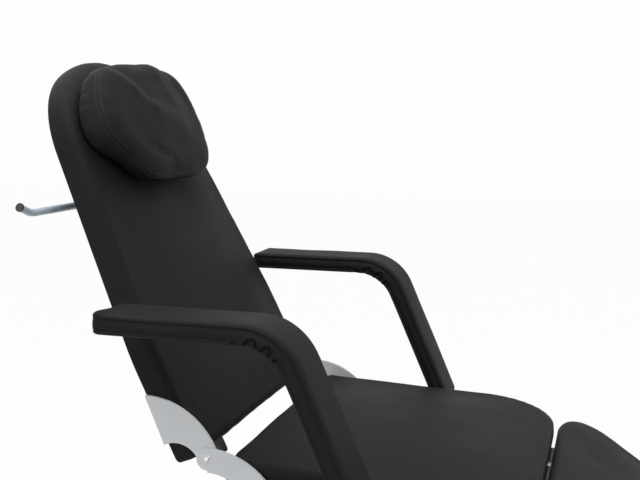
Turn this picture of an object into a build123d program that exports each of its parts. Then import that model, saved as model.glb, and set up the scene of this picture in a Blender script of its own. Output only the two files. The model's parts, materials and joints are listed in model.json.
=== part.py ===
from build123d import *
import os
from math import asin, atan2, cos, degrees, pi, radians, sin, tan

# Tattoo chair: a reclining treatment chair on a fixed tube frame. Lengths in millimetres.
# +X points to the feet of the sitter, +Y to the sitter's left, +Z up, and the floor is at zero.
# The backrest turns about the hinge axis, and the leg rest about the leg hinge axis.
os.makedirs("parts", exist_ok=True)

# Whole chair
hinge_z = 600.0          # height of the backrest's hinge axis
back_lean = 25.7         # degrees of the backrest from upright, as stored
leg_drop = 34.5          # degrees of the leg rest below level, as stored
cushion_half_width = 285.0

# Backrest, measured from the hinge axis: s up along it, n out of its front
back_low_s = 7.0
back_top_s = 742.0
back_depth = 60.0        # hinge axis back to the cushion's rear face
back_edge_thickness = 46.0
back_crown = 11.0
back_edge_round = 30.0
back_taper = 8.3         # degrees by which the shoulders lean in
shoulder_inset = 47.0    # cushion side in to the shoulder, at shoulder_s
shoulder_s = 519.0
head_corner_radius = 190.0
head_rise = 12.3         # how far the top bows up above the corner arcs
back_foot_radius = 12.0
back_board_thickness = 9.0
back_board_inset = 26.0

# Seat
seat_gap = 24.0          # hinge axis to the seat's rear face
seat_length = 496.0
seat_edge_thickness = 48.0
seat_crown = 13.0
seat_edge_round = 34.0
seat_slope = 2.0         # degrees by which the top falls towards the feet
seat_top_drop = 5.0      # hinge axis down to the rear edge of the seat's flank
seat_rear_radius = 14.0
seat_front_radius = 150.0
seat_board_thickness = 10.0
seat_board_inset = 6.0
seat_board_front_gap = 20.0

# Leg rest, measured from its own hinge axis: u along it, w out of its top
leg_hinge_gap = 1.5      # seat front to the leg hinge axis
leg_hinge_drop = 61.0    # hinge axis of the backrest down to that of the leg rest
leg_length = 580.0
leg_rear_back = 1.0      # its hinge axis back to the cushion's rear face
leg_low_w = 7.2
leg_edge_thickness = 34.0
leg_crown = 13.0
leg_edge_round = 30.0
leg_rear_radius = 105.0
leg_foot_radius = 105.0
leg_board_thickness = 9.0
leg_board_inset = 22.0

# Armrests, bent pads on a steel core
arm_gap = 7.5            # cushion side to the pad's inner face
arm_width = 97.0
arm_thickness = 30.0
arm_top = 247.0          # pad top above the hinge axis
arm_rear_x = 148.0       # pad end behind the hinge axis
arm_corner_x = 163.2     # crossing of the pad's top line and front line
arm_rake = 23.6          # degrees of the front part from upright
arm_outer_radius = 100.0
arm_pad_end = 54.0       # pad's lower end below the hinge axis
arm_end_round = 6.0
arm_edge_round = 6.0
arm_core_thickness = 20.0
arm_core_width = 30.0
arm_core_wall = 2.0
arm_core_round = 1.0
arm_core_setback = 12.0

# Arm sockets on the seat frame
socket_wall = 2.5
socket_fit = 0.4
socket_length = 105.0
socket_drop = 6.0        # pad end down to the socket's mouth
socket_arm_height = 25.0
core_in_socket = 98.0
knob_below_mouth = 62.0

# Head pillow
pillow_middle_s = 588.0
pillow_height = 240.0
pillow_half_width = 200.0
pillow_thickness = 60.0
pillow_clearance = 0.4

# Steel tubes
tube = 25.0
tube_wall = 2.0
leg_depth = 40.0
rail_front_gap = 120.0   # seat front back to the end of the rails
rear_cross_inset = 25.0  # rear end of the seat rails to the rear cross tube
rear_leg_top = 40.0      # leg centre ahead of the hinge axis, at the rail
rear_leg_foot = 75.0     # leg centre behind the hinge axis, at the floor rail
front_leg_inset = 50.0   # end of the seat rails back to the leg centre, at the rail
front_leg_splay = 150.0  # leg centre at the floor rail ahead of where it is at the seat rail
floor_rail_overhang = 55.0
rear_overhang = 45.0
glide_height = 12.0
glide_radius = 19.0
stretcher_z = 250.0
cap_head = 3.0
cap_plug = 14.0
cap_fit = 0.2

# Back frame, let into the cushion's rear face
back_tube = 22.0
back_tube_fit = 0.5
back_rail_inset = 140.0  # cushion side to a rail's centre line
back_cross_low_s = 78.0
back_cross_top_s = 560.0
back_stub_reach = 19.0   # how far the lower tube end reaches below the hinge axis
back_stub_inset = 125.0  # cushion side to the middle of that tube end

# Hinge plates and their ratchets
plate_thickness = 5.0
plate_play = 0.3         # between faces that turn on each other
plate_gap = 1.2          # cushion side to the back plate
plate_arc_radius = 137.0
hinge_eye_radius = 18.5
back_plate_turn = 200.5  # degrees, towards the centre of the back plate's arc
back_plate_top_s = 131.0
back_plate_low_s = 49.0
back_plate_low_out = 4.0 # how far its lower corner stands behind the cushion
back_plate_inner_radius = 44.0
back_plate_inner_back = 57.0
back_plate_inner_drop = 24.0
seat_plate_inner_radius = 82.0
seat_plate_inner_x = 2.0
seat_plate_inner_drop = 104.0
bolt_radius = 4.0
bolt_fit = 0.08
bolt_head_radius = 6.0
bolt_head_height = 3.6
bolt_ring_radius = 8.2
bolt_ring_thickness = 1.5
nut_radius = 7.5
nut_thickness = 6.0
hub_radius = 12.0
hub_length = 16.0
hub_wall = 2.0
wheel_radius = 7.9
wheel_root_radius = 6.8
wheel_teeth = 12
pawl_width = 4.0
pawl_gap = 0.25

# Leg rest frame and hinge
leg_cross_inset = 70.0
lug_thickness = 4.0
lug_radius = 7.0
lug_barrel = 62.0        # length of the lug's barrel along the hinge axis
lug_length = 85.0
lug_gap = 1.0
bracket_inset = 190.0    # seat rail's inner face to a bracket's inner face
bracket_thickness = 6.0
leg_bolt_radius = 3.5
leg_bolt_head_radius = 6.0
leg_bolt_head_height = 4.0
leg_nut_radius = 6.0
leg_nut_thickness = 6.0

# Paper roll bar behind the head
bar_radius = 6.5
bar_depth = 116.0        # hinge axis back to the bar
bar_s = 488.0
bar_root_setback = 2.0   # socket's outer end to the bar's end
bar_bend_out = 3.0       # cushion side to the bend, on the sitter's right
bar_bend_radius = 55.0
bar_tip_length = 31.0
bar_tip_turn = 22.0
bar_cap_length = 3.0
bar_cap_radius = 7.5
bar_wall = 1.5
bar_fit = 0.08
bar_socket_inset = 85.0  # cushion side to the socket's middle, on the sitter's left
bar_socket_width = 56.0
bar_socket_height = 34.0
bar_socket_back = 14.0
bar_socket_foot_height = 74.0
bar_socket_foot = 6.0

# Clamp knobs and screws
knob_radius = 17.0
knob_height = 18.0
knob_neck_radius = 8.0
knob_neck = 9.0
knob_lobes = 6
knob_lobe_radius = 5.0
screw_radius = 3.0
screw_fit = 0.1
tip_clearance = 0.3
board_screw_radius = 5.5
board_screw_head = 2.6
overrun = 5.0

# How far each level of a cushion is up its height, and how far it is drawn in
cushion_level_shares = ((0.0, 0.16), (0.10, 0.02), (0.34, 0.0), (0.52, 0.06), (0.66, 0.22), (0.77, 0.50), (0.86, 0.92),
                        (0.93, 1.6), (0.975, 2.5), (1.0, 3.8))
pillow_level_shares = ((0.0, 0.80), (0.08, 0.87), (0.22, 0.94), (0.38, 0.985), (0.52, 1.0), (0.66, 0.975), (0.78, 0.925),
                       (0.88, 0.84), (0.95, 0.72), (0.985, 0.58), (1.0, 0.42))
pillow_outline_shares = ((0.46, -0.50, 0.32), (1.0, -0.13, 0.30), (1.0, 0.22, 0.34), (0.60, 0.50, 0.36))
arm_level_shares = ((1.0, 1.0), (0.985, 0.55), (0.95, 0.25), (0.86, 0.0))

# Places that follow from the sizes above
lean, drop, rake, slope = (radians(a) for a in (back_lean, leg_drop, arm_rake, seat_slope))
back_rear_n = -back_depth
shoulder_half_width = cushion_half_width - shoulder_inset
back_rail_y = cushion_half_width - back_rail_inset
bar_socket_y = cushion_half_width - bar_socket_inset
bar_root_y = bar_socket_y + bar_socket_width / 2 - bar_root_setback
bar_bend_reach = cushion_half_width + bar_bend_out
leg_start_u = -leg_rear_back
plate_arc_reach = plate_arc_radius - hinge_eye_radius
bar_n = -bar_depth
back_plate_inner_x = -back_plate_inner_back
back_plate_inner_z = -back_plate_inner_drop
seat_plate_inner_z = -seat_plate_inner_drop
seat_front_dx = seat_gap + seat_length
leg_hinge_dx = seat_front_dx + leg_hinge_gap
rear_reach = back_top_s * sin(lean) - back_rear_n * cos(lean)
front_reach = leg_hinge_dx + leg_length * cos(drop) + leg_edge_thickness * sin(drop)
hinge_x = (rear_reach - front_reach) / 2
leg_hinge_x = hinge_x + leg_hinge_dx
leg_hinge_z = hinge_z - leg_hinge_drop
seat_low_z = hinge_z - seat_top_drop - seat_edge_thickness
seat_board_low_z = seat_low_z - seat_board_thickness
rail_low_z = seat_board_low_z - tube
plate_inner_y = cushion_half_width + plate_gap
seat_plate_inner_y = plate_inner_y + plate_thickness
frame_reach_y = seat_plate_inner_y
rail_inner_y = frame_reach_y - tube
bracket_inner_y = rail_inner_y - bracket_inset
lug_outer_y = bracket_inner_y - lug_gap
lug_inner_y = lug_outer_y - lug_thickness
leg_rail_y = lug_inner_y - tube / 2
rail_front_x = hinge_x + seat_front_dx - rail_front_gap
front_leg_top = seat_front_dx - rail_front_gap - front_leg_inset
front_leg_foot = front_leg_top + front_leg_splay
floor_rail_front = front_leg_foot + floor_rail_overhang
floor_rail_rear = rear_leg_foot + rear_overhang
floor_rail_top_z = glide_height + tube
back_direction = Vector(-sin(lean), 0, cos(lean))
back_normal = Vector(cos(lean), 0, sin(lean))
leg_direction = Vector(cos(drop), 0, -sin(drop))
leg_normal = Vector(sin(drop), 0, cos(drop))
arm_direction = Vector(sin(rake), 0, -cos(rake))
arm_normal = Vector(cos(rake), 0, sin(rake))
hinge_point = Vector(hinge_x, 0, hinge_z)
leg_hinge_point = Vector(leg_hinge_x, 0, leg_hinge_z)

# Sketch planes: faces have Y across, and sides look along +Y with the piece growing to the right
back_face = Plane(origin=hinge_point, x_dir=(0, 1, 0), z_dir=back_normal)
leg_face = Plane(origin=leg_hinge_point, x_dir=leg_direction, z_dir=leg_normal)


def side_plane(y, origin=hinge_point, x_dir=(1, 0, 0)):
    """An upright plane at y to the sitter's right; extruding from it goes further right."""
    return Plane(origin=origin - Vector(0, y, 0), x_dir=x_dir, z_dir=(0, -1, 0))


def write(name, piece):
    """Write one piece as its own STEP file."""
    piece.part.label = name
    export_step(piece.part, f"parts/{name}.step")


def write_pair(name, right):
    """Write the right piece and its mirror image on the left."""
    write(f"right_{name}", right)
    with BuildPart() as left:
        mirror(right.part, about=Plane.XZ)
    write(f"left_{name}", left)


def write_mirrored_group(name, right):
    """Write right and left pieces together as one node of separate solids."""
    with BuildPart() as group:
        add(right.part)
        mirror(right.part, about=Plane.XZ)
    write(name, group)


def square_tube(start, direction, length, across=(0, 1, 0)):
    """A hollow square tube whose centre line runs from start along direction, with a flat facing across."""
    with BuildSketch(Plane(origin=start, x_dir=across, z_dir=direction)) as section:
        Rectangle(tube, tube)
        Rectangle(tube - 2 * tube_wall, tube - 2 * tube_wall, mode=Mode.SUBTRACT)
    extrude(section.sketch, amount=length)


# Outlines of the soft pieces
def back_outline(inset):
    """Half the backrest's outline, drawn in by inset, mirrored about its middle."""
    taper = radians(back_taper)
    width = cushion_half_width - inset
    low = back_low_s + inset
    foot = max(back_foot_radius - inset, back_foot_radius / 3)
    corner = head_corner_radius - inset
    # Each corner arc touches the leaning shoulder, and the arc over the top touches both corner arcs.
    corner_s = back_top_s - head_rise - head_corner_radius
    reach = shoulder_half_width * cos(taper) + shoulder_s * sin(taper) - head_corner_radius
    corner_y = (reach - corner_s * sin(taper)) / cos(taper)
    between = (corner_y ** 2 + head_rise ** 2) / (2 * head_rise)
    top_centre = corner_s + head_rise - between
    join = degrees(atan2(corner_s - top_centre, corner_y))
    tangent = (corner_y + corner * cos(taper), corner_s + corner * sin(taper))
    bend = (width, tangent[1] - (width - tangent[0]) / tan(taper))
    with BuildLine() as outline:
        Line((0, low), (width - foot, low))
        CenterArc((width - foot, low + foot), foot, -90, 90)
        Line((width, low + foot), bend)
        Line(bend, tangent)
        CenterArc((corner_y, corner_s), corner, back_taper, join - back_taper)
        CenterArc((0, top_centre), corner + between, join, 90 - join)
        mirror(about=Plane.YZ)
    make_face(outline.edges())


def slab_outline(start, end, half_width, rear_radius, front_radius, inset):
    """A rectangle along x with its own rear and front corner radii, drawn in by inset."""
    rear = max(rear_radius - inset, rear_radius / 3)
    front = max(front_radius - inset, front_radius / 3)
    low, high, wide = start + inset, end - inset, half_width - inset
    with BuildLine() as outline:
        FilletPolyline((low, -wide), (high, -wide), (high, wide), (low, wide), radius=[rear, front, front, rear],
                       close=True)
    make_face(outline.edges())


def pillow_outline(scale):
    """An eight-cornered outline, narrow at its foot and rounded, about the pillow's middle."""
    right = [(pillow_half_width * w, pillow_height * h, pillow_height * r) for w, h, r in pillow_outline_shares]
    ring = right + [(-w, h, r) for w, h, r in reversed(right)]
    with BuildLine() as outline:
        FilletPolyline(*((w * scale, h * scale) for w, h, r in ring), radius=[r * scale for w, h, r in ring],
                       close=True)
    make_face(outline.edges())


def bent_bar(half_thickness, rear_x, end_length, end_round):
    """A bar that runs level and then bends down along the front part, about the arm's centre line."""
    half = arm_thickness / 2
    corner = Vector(arm_corner_x, arm_top) - Vector(1, 0) * half * (cos(rake) / (1 + sin(rake)))
    corner = corner - Vector(0, 1) * half
    miter = Vector(cos(rake), 1 + sin(rake)) * (half_thickness / (1 + sin(rake)))
    down, out = Vector(sin(rake), -cos(rake)), Vector(cos(rake), sin(rake)) * half_thickness
    outer = arm_outer_radius - half + half_thickness
    end = corner + down * end_length
    points = [(-rear_x, corner.Y + half_thickness), corner + miter, end + out, end - out, corner - miter,
              (-rear_x, corner.Y - half_thickness)]
    radii = [end_round, outer, end_round, end_round, outer - 2 * half_thickness, end_round]
    with BuildLine() as outline:
        FilletPolyline(*points, radius=radii, close=True)
    make_face(outline.edges())
    return corner


# Backrest
back_thickness = back_edge_thickness + back_crown
with BuildPart() as back_cushion:
    for height, inset in cushion_level_shares:
        with BuildSketch(back_face.offset(back_rear_n + height * back_thickness)):
            back_outline(inset * back_edge_round)
    loft(ruled=True)
    # grooves in the rear face that take the frame
    groove = back_tube + 2 * back_tube_fit
    groove_plane = back_face.offset(back_rear_n - overrun)
    with BuildSketch(groove_plane):
        for y in (-back_rail_y, back_rail_y):
            with Locations((y, back_cross_top_s / 2)):
                Rectangle(groove, back_cross_top_s + groove)
        with Locations((0, back_cross_low_s)):
            Rectangle(2 * (cushion_half_width + overrun), groove)
        with Locations((back_stub_inset - cushion_half_width, back_cross_low_s / 2)):
            Rectangle(groove, back_cross_low_s + groove)
        with Locations((0, back_cross_top_s)):
            Rectangle(2 * back_rail_y, groove)
    extrude(amount=back_tube + back_tube_fit + overrun, mode=Mode.SUBTRACT)
write("back_cushion", back_cushion)

with BuildPart() as back_board:
    with BuildSketch(back_face.offset(back_rear_n - back_board_thickness)):
        back_outline(back_board_inset)
    extrude(amount=back_board_thickness)
write("back_board", back_board)

back_rail_length = back_cross_top_s - back_cross_low_s - back_tube
with BuildPart(back_face.offset(back_rear_n + back_tube / 2)) as right_back_rail:
    with Locations((-back_rail_y, (back_cross_top_s + back_cross_low_s) / 2)):
        Box(back_tube, back_rail_length, back_tube)
        Box(back_tube - 2 * tube_wall, back_rail_length, back_tube - 2 * tube_wall, mode=Mode.SUBTRACT)
write_pair("back_rail", right_back_rail)

for name, place, reach in (("back_cross_low", back_cross_low_s, plate_inner_y),
                           ("back_cross_top", back_cross_top_s, back_rail_y + back_tube / 2)):
    with BuildPart(back_face.offset(back_rear_n + back_tube / 2)) as back_cross:
        with Locations((0, place)):
            Box(2 * reach, back_tube, back_tube)
            Box(2 * reach, back_tube - 2 * tube_wall, back_tube - 2 * tube_wall, mode=Mode.SUBTRACT)
    write(name, back_cross)

# tube end on the right that hangs from the lower cross tube, below the cushion, and its cap
stub_top = back_cross_low_s - back_tube / 2
stub_y = cushion_half_width - back_stub_inset
with BuildPart(back_face.offset(back_rear_n + back_tube / 2)) as back_stub:
    with Locations((-stub_y, (stub_top - back_stub_reach) / 2)):
        Box(back_tube, stub_top + back_stub_reach, back_tube)
        Box(back_tube - 2 * tube_wall, stub_top + back_stub_reach, back_tube - 2 * tube_wall, mode=Mode.SUBTRACT)
write("back_stub", back_stub)

with BuildPart() as back_stub_cap:
    stub_end = Plane(origin=hinge_point - back_direction * back_stub_reach + back_normal * (back_rear_n + back_tube / 2)
                     - Vector(0, stub_y, 0), x_dir=(0, 1, 0), z_dir=-back_direction)
    with BuildSketch(stub_end):
        RectangleRounded(back_tube, back_tube, tube_wall)
    extrude(amount=cap_head)
    with BuildSketch(stub_end):
        Rectangle(back_tube - 2 * tube_wall - 2 * cap_fit, back_tube - 2 * tube_wall - 2 * cap_fit)
    extrude(amount=-cap_plug)
write("back_stub_cap", back_stub_cap)


# Hinge plates: flat sheet sickles whose outer arcs end in the round eye about the hinge axis
def plate_eye():
    """The bore of a plate about the hinge axis."""
    Circle(bolt_radius + bolt_fit, mode=Mode.SUBTRACT)


with BuildPart() as right_back_hinge_plate:
    turn = radians(back_plate_turn)
    with BuildSketch(side_plane(plate_inner_y)):
        with Locations((plate_arc_reach * cos(turn), plate_arc_reach * sin(turn))):
            Circle(plate_arc_radius)
        with Locations((back_plate_inner_x, back_plate_inner_z)):
            Circle(back_plate_inner_radius, mode=Mode.SUBTRACT)
        # what lies behind the cushion's rear face, below the slanting cut and past the hinge axis is cut away
        with BuildLine():
            top = back_normal * back_rear_n + back_direction * back_plate_top_s
            low = back_normal * (back_rear_n - back_plate_low_out) + back_direction * back_plate_low_s
            far = 3 * plate_arc_radius
            Polyline((top.X, top.Z + far), (top.X, top.Z), (low.X, low.Z), (back_plate_inner_x, back_plate_inner_z),
                     (back_plate_inner_x + back_plate_inner_radius - overrun, back_plate_inner_z), (0, 0),
                     (hinge_eye_radius, 0), (far, 0), (far, -far), (-far, -far), (-far, top.Z + far), close=True)
        make_face(mode=Mode.SUBTRACT)
        Circle(hinge_eye_radius)
        plate_eye()
    extrude(amount=plate_thickness - plate_play)
write_pair("back_hinge_plate", right_back_hinge_plate)

seat_plate_low = hinge_z - rail_low_z
with BuildPart() as right_seat_hinge_plate:
    with BuildSketch(side_plane(seat_plate_inner_y)):
        with Locations((0, -plate_arc_reach)):
            Circle(plate_arc_radius)
        with Locations((seat_plate_inner_x, seat_plate_inner_z)):
            Circle(seat_plate_inner_radius, mode=Mode.SUBTRACT)
        with BuildLine():
            far = 3 * plate_arc_radius
            Polyline((0, far), (0, -hinge_eye_radius), (seat_plate_inner_x, seat_plate_inner_z),
                     (seat_plate_inner_x, -seat_plate_low), (far, -seat_plate_low), (far, -far), (-far, -far),
                     (-far, far), close=True)
        make_face(mode=Mode.SUBTRACT)
        Circle(hinge_eye_radius)
        plate_eye()
    extrude(amount=plate_thickness)
write_pair("seat_hinge_plate", right_seat_hinge_plate)

# Ratchets inside the hinges: a toothed wheel on the bolt, a pawl and the housing on the back plate
hub_inner_y = plate_inner_y - hub_length
with BuildPart() as right_ratchet_housing:
    with BuildSketch(side_plane(hub_inner_y)):
        Circle(hub_radius)
    extrude(amount=hub_length)
    with BuildSketch(side_plane(hub_inner_y + hub_wall)):
        Circle(hub_radius - hub_wall)
    extrude(amount=hub_length - hub_wall, mode=Mode.SUBTRACT)
    with BuildSketch(side_plane(hub_inner_y - overrun)):
        Circle(bolt_radius + bolt_fit)
    extrude(amount=hub_wall + 2 * overrun, mode=Mode.SUBTRACT)
write_mirrored_group("ratchet_housings", right_ratchet_housing)

wheel_length = hub_length - 2 * hub_wall
with BuildPart() as right_ratchet_wheel:
    with BuildSketch(side_plane(hub_inner_y + 1.5 * hub_wall)):
        Circle(wheel_radius)
        with PolarLocations(wheel_radius, wheel_teeth):
            Rectangle(2 * (wheel_radius - wheel_root_radius), wheel_radius * pi / wheel_teeth, mode=Mode.SUBTRACT)
        Circle(bolt_radius, mode=Mode.SUBTRACT)
    extrude(amount=wheel_length - hub_wall)
write_mirrored_group("ratchet_wheels", right_ratchet_wheel)

with BuildPart() as right_ratchet_pawl:
    with BuildSketch(side_plane(hub_inner_y + 1.5 * hub_wall)):
        Circle(hub_radius - hub_wall)
        Circle(wheel_radius + pawl_gap, mode=Mode.SUBTRACT)
        with Locations((0, hub_radius / 2)):
            Rectangle(pawl_width, hub_radius, mode=Mode.INTERSECT)
    extrude(amount=wheel_length - hub_wall)
write_mirrored_group("ratchet_pawls", right_ratchet_pawl)

bolt_head_y = seat_plate_inner_y + plate_thickness
nut_inner_y = hub_inner_y - plate_play - nut_thickness
with BuildPart() as right_hinge_bolt:
    with BuildSketch(side_plane(nut_inner_y)):
        Circle(bolt_radius)
    extrude(amount=bolt_head_y + bolt_ring_thickness - nut_inner_y)
    with BuildSketch(Plane(origin=hinge_point - Vector(0, bolt_head_y + bolt_ring_thickness, 0), x_dir=(1, 0, 0),
                           z_dir=(0, 0, 1))):
        with BuildLine():
            rim = (bolt_head_radius, 0)
            crown = (0, -bolt_head_height)
            dome = (bolt_head_radius ** 2 + bolt_head_height ** 2) / (2 * bolt_head_height)
            half = asin(bolt_head_radius / dome) / 2
            Line((0, 0), rim)
            ThreePointArc(rim, (dome * sin(half), dome * (1 - cos(half)) - bolt_head_height), crown)
            Line(crown, (0, 0))
        make_face()
    revolve(axis=Axis(hinge_point, (0, 1, 0)))
write_mirrored_group("hinge_bolts", right_hinge_bolt)

with BuildPart() as right_bolt_ring:
    with BuildSketch(side_plane(bolt_head_y)):
        Circle(bolt_ring_radius)
        Circle(bolt_radius, mode=Mode.SUBTRACT)
    extrude(amount=bolt_ring_thickness)
    chamfer(right_bolt_ring.edges().filter_by(GeomType.CIRCLE).group_by(Axis.Y)[0].sort_by(SortBy.LENGTH)[-1:],
            bolt_ring_thickness / 3)
write_mirrored_group("hinge_bolt_rings", right_bolt_ring)

with BuildPart() as right_hinge_nut:
    with BuildSketch(side_plane(nut_inner_y)):
        RegularPolygon(nut_radius, 6, major_radius=True)
        Circle(bolt_radius, mode=Mode.SUBTRACT)
    extrude(amount=nut_thickness)
write_mirrored_group("hinge_nuts", right_hinge_nut)

# Seat: its top falls a little towards the feet, so each level is tilted more than the one below
seat_thickness = seat_edge_thickness + seat_crown
with BuildPart() as seat_cushion:
    for height, inset in cushion_level_shares:
        tilt = slope * height
        level = Plane(origin=(hinge_x + seat_gap, 0, seat_low_z + height * seat_thickness),
                      x_dir=(cos(tilt), 0, -sin(tilt)), z_dir=(sin(tilt), 0, cos(tilt)))
        with BuildSketch(level):
            slab_outline(0, seat_length, cushion_half_width, seat_rear_radius, seat_front_radius,
                         inset * seat_edge_round)
    loft(ruled=True)
write("seat_cushion", seat_cushion)

with BuildPart() as seat_board:
    with BuildSketch(Plane(origin=(hinge_x + seat_gap, 0, seat_board_low_z))):
        slab_outline(0, seat_length - seat_board_front_gap + seat_board_inset, cushion_half_width, seat_rear_radius,
                     seat_front_radius, seat_board_inset)
    extrude(amount=seat_board_thickness)
write("seat_board", seat_board)

# Seat frame
rail_rear_x = hinge_x
rail_length = rail_front_x - rail_rear_x
rail_middle_y = rail_inner_y + tube / 2
rail_middle_z = rail_low_z + tube / 2
with BuildPart() as right_seat_rail:
    square_tube(Vector(rail_rear_x, -rail_middle_y, rail_middle_z), Vector(1, 0, 0), rail_length)
write_pair("seat_rail", right_seat_rail)

for name, x in (("seat_cross_rear", rail_rear_x + rear_cross_inset + tube / 2),
                ("seat_cross_front", rail_front_x - tube / 2)):
    with BuildPart() as seat_cross:
        square_tube(Vector(x, -rail_inner_y, rail_middle_z), Vector(0, 1, 0), 2 * rail_inner_y, (1, 0, 0))
    write(name, seat_cross)


# Legs, slanting tubes between the seat rail and the floor rail
def slanting_leg(top_dx, foot_dx):
    """The side profile of a leg, centred on top_dx and foot_dx ahead of the hinge axis."""
    for half, mode in ((leg_depth / 2, Mode.ADD), (leg_depth / 2 - tube_wall, Mode.SUBTRACT)):
        lift = 0 if mode == Mode.ADD else tube_wall
        with BuildSketch(side_plane(rail_inner_y + lift)) as profile:
            top_z, foot_z = rail_low_z - hinge_z, floor_rail_top_z - hinge_z
            with BuildLine():
                Polyline((top_dx - half, top_z), (top_dx + half, top_z), (foot_dx + half, foot_z),
                         (foot_dx - half, foot_z), close=True)
            make_face()
        extrude(profile.sketch, amount=tube - 2 * lift, mode=mode)


with BuildPart() as right_rear_leg:
    slanting_leg(rear_leg_top, -rear_leg_foot)
write_pair("rear_leg", right_rear_leg)

with BuildPart() as right_front_leg:
    slanting_leg(front_leg_top, front_leg_foot)
write_pair("front_leg", right_front_leg)

floor_rail_length = floor_rail_rear + floor_rail_front
with BuildPart() as right_floor_rail:
    square_tube(Vector(hinge_x - floor_rail_rear, -rail_middle_y, glide_height + tube / 2), Vector(1, 0, 0),
                floor_rail_length)
write_pair("floor_rail", right_floor_rail)

stretcher_share = (rail_low_z - stretcher_z) / (rail_low_z - floor_rail_top_z)
for name, top_dx, foot_dx in (("rear_stretcher", rear_leg_top, -rear_leg_foot),
                              ("front_stretcher", front_leg_top, front_leg_foot)):
    x = hinge_x + top_dx + (foot_dx - top_dx) * stretcher_share
    with BuildPart() as stretcher:
        square_tube(Vector(x, -rail_inner_y, stretcher_z), Vector(0, 1, 0), 2 * rail_inner_y, (1, 0, 0))
    write(name, stretcher)

cap_places = [(hinge_x - floor_rail_rear, glide_height + tube / 2, -1),
              (hinge_x + floor_rail_front, glide_height + tube / 2, 1),
              (rail_rear_x, rail_middle_z, -1), (rail_front_x, rail_middle_z, 1)]
with BuildPart() as right_tube_caps:
    for x, z, outward in cap_places:
        end = Plane(origin=(x, -rail_middle_y, z), z_dir=(outward, 0, 0))
        with BuildSketch(end):
            RectangleRounded(tube, tube, tube_wall)
        extrude(amount=cap_head)
        with BuildSketch(end):
            Rectangle(tube - 2 * tube_wall - 2 * cap_fit, tube - 2 * tube_wall - 2 * cap_fit)
        extrude(amount=-cap_plug)
write_mirrored_group("tube_caps", right_tube_caps)

glide_inset = 2 * glide_radius
with BuildPart() as right_foot_glides:
    for x in (hinge_x - floor_rail_rear + glide_inset, hinge_x + floor_rail_front - glide_inset):
        with BuildSketch(Plane(origin=(x, -rail_middle_y, 0))):
            Circle(glide_radius)
        extrude(amount=glide_height)
    chamfer(right_foot_glides.edges().filter_by(GeomType.CIRCLE).group_by(Axis.Z)[0], glide_height / 6)
write_mirrored_group("foot_glides", right_foot_glides)

# Leg rest
leg_thickness = leg_edge_thickness + leg_crown
with BuildPart() as leg_cushion:
    for height, inset in cushion_level_shares:
        with BuildSketch(leg_face.offset(leg_low_w + height * leg_thickness)):
            slab_outline(leg_start_u, leg_length, cushion_half_width, leg_rear_radius, leg_foot_radius,
                         inset * leg_edge_round)
    loft(ruled=True)
write("leg_cushion", leg_cushion)

leg_board_w = leg_low_w - leg_board_thickness
with BuildPart() as leg_board:
    with BuildSketch(leg_face.offset(leg_board_w)):
        slab_outline(leg_start_u, leg_length, cushion_half_width, leg_rear_radius, leg_foot_radius, leg_board_inset)
    extrude(amount=leg_board_thickness)
write("leg_board", leg_board)

leg_rail_start = leg_start_u + leg_board_inset
leg_rail_end = leg_length - leg_cross_inset
leg_rail_w = leg_board_w - tube / 2
with BuildPart() as right_leg_rail:
    square_tube(leg_hinge_point + leg_direction * leg_rail_start + leg_normal * leg_rail_w - Vector(0, leg_rail_y, 0),
                leg_direction, leg_rail_end - leg_rail_start)
write_pair("leg_rail", right_leg_rail)

leg_cross_reach = leg_rail_y - tube / 2
for name, u in (("leg_cross_knee", leg_rail_start + tube / 2 + leg_cross_inset),
                ("leg_cross_foot", leg_rail_end - tube / 2)):
    start = leg_hinge_point + leg_direction * u + leg_normal * leg_rail_w - Vector(0, leg_cross_reach, 0)
    with BuildPart() as leg_cross:
        square_tube(start, Vector(0, 1, 0), 2 * leg_cross_reach, leg_direction)
    write(name, leg_cross)

# Leg rest hinge: a lug on each leg rail, two brackets on the front cross tube, and a bolt and nut each
with BuildPart() as right_leg_lug:
    with BuildSketch(side_plane(lug_inner_y, leg_hinge_point, leg_direction)):
        Circle(lug_radius)
        with BuildLine():
            lug_low = leg_board_w - tube
            Polyline((0, -lug_radius), (0, 0), (leg_rail_start, leg_board_w), (lug_length, leg_board_w),
                     (lug_length, lug_low), (leg_rail_start, lug_low), close=True)
        make_face()
    extrude(amount=lug_thickness)
    with BuildSketch(side_plane(lug_outer_y, leg_hinge_point)):
        Circle(lug_radius)
    extrude(amount=-lug_barrel)
    with BuildSketch(side_plane(lug_outer_y + overrun, leg_hinge_point)):
        Circle(leg_bolt_radius + bolt_fit)
    extrude(amount=-lug_barrel - 2 * overrun, mode=Mode.SUBTRACT)
write_mirrored_group("leg_hinge_lugs", right_leg_lug)

with BuildPart() as right_leg_bracket:
    with BuildSketch(side_plane(bracket_inner_y, leg_hinge_point)):
        Circle(lug_radius)
        with BuildLine():
            bracket_top = seat_board_low_z - leg_hinge_z
            bracket_low = rail_low_z - leg_hinge_z
            rear = rail_front_x - leg_hinge_x
            Polyline((0, -lug_radius), (0, bracket_top), (rear, bracket_top), (rear, bracket_low), close=True)
        make_face()
        Circle(leg_bolt_radius + bolt_fit, mode=Mode.SUBTRACT)
    extrude(amount=bracket_thickness)
write_mirrored_group("leg_hinge_brackets", right_leg_bracket)

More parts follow.
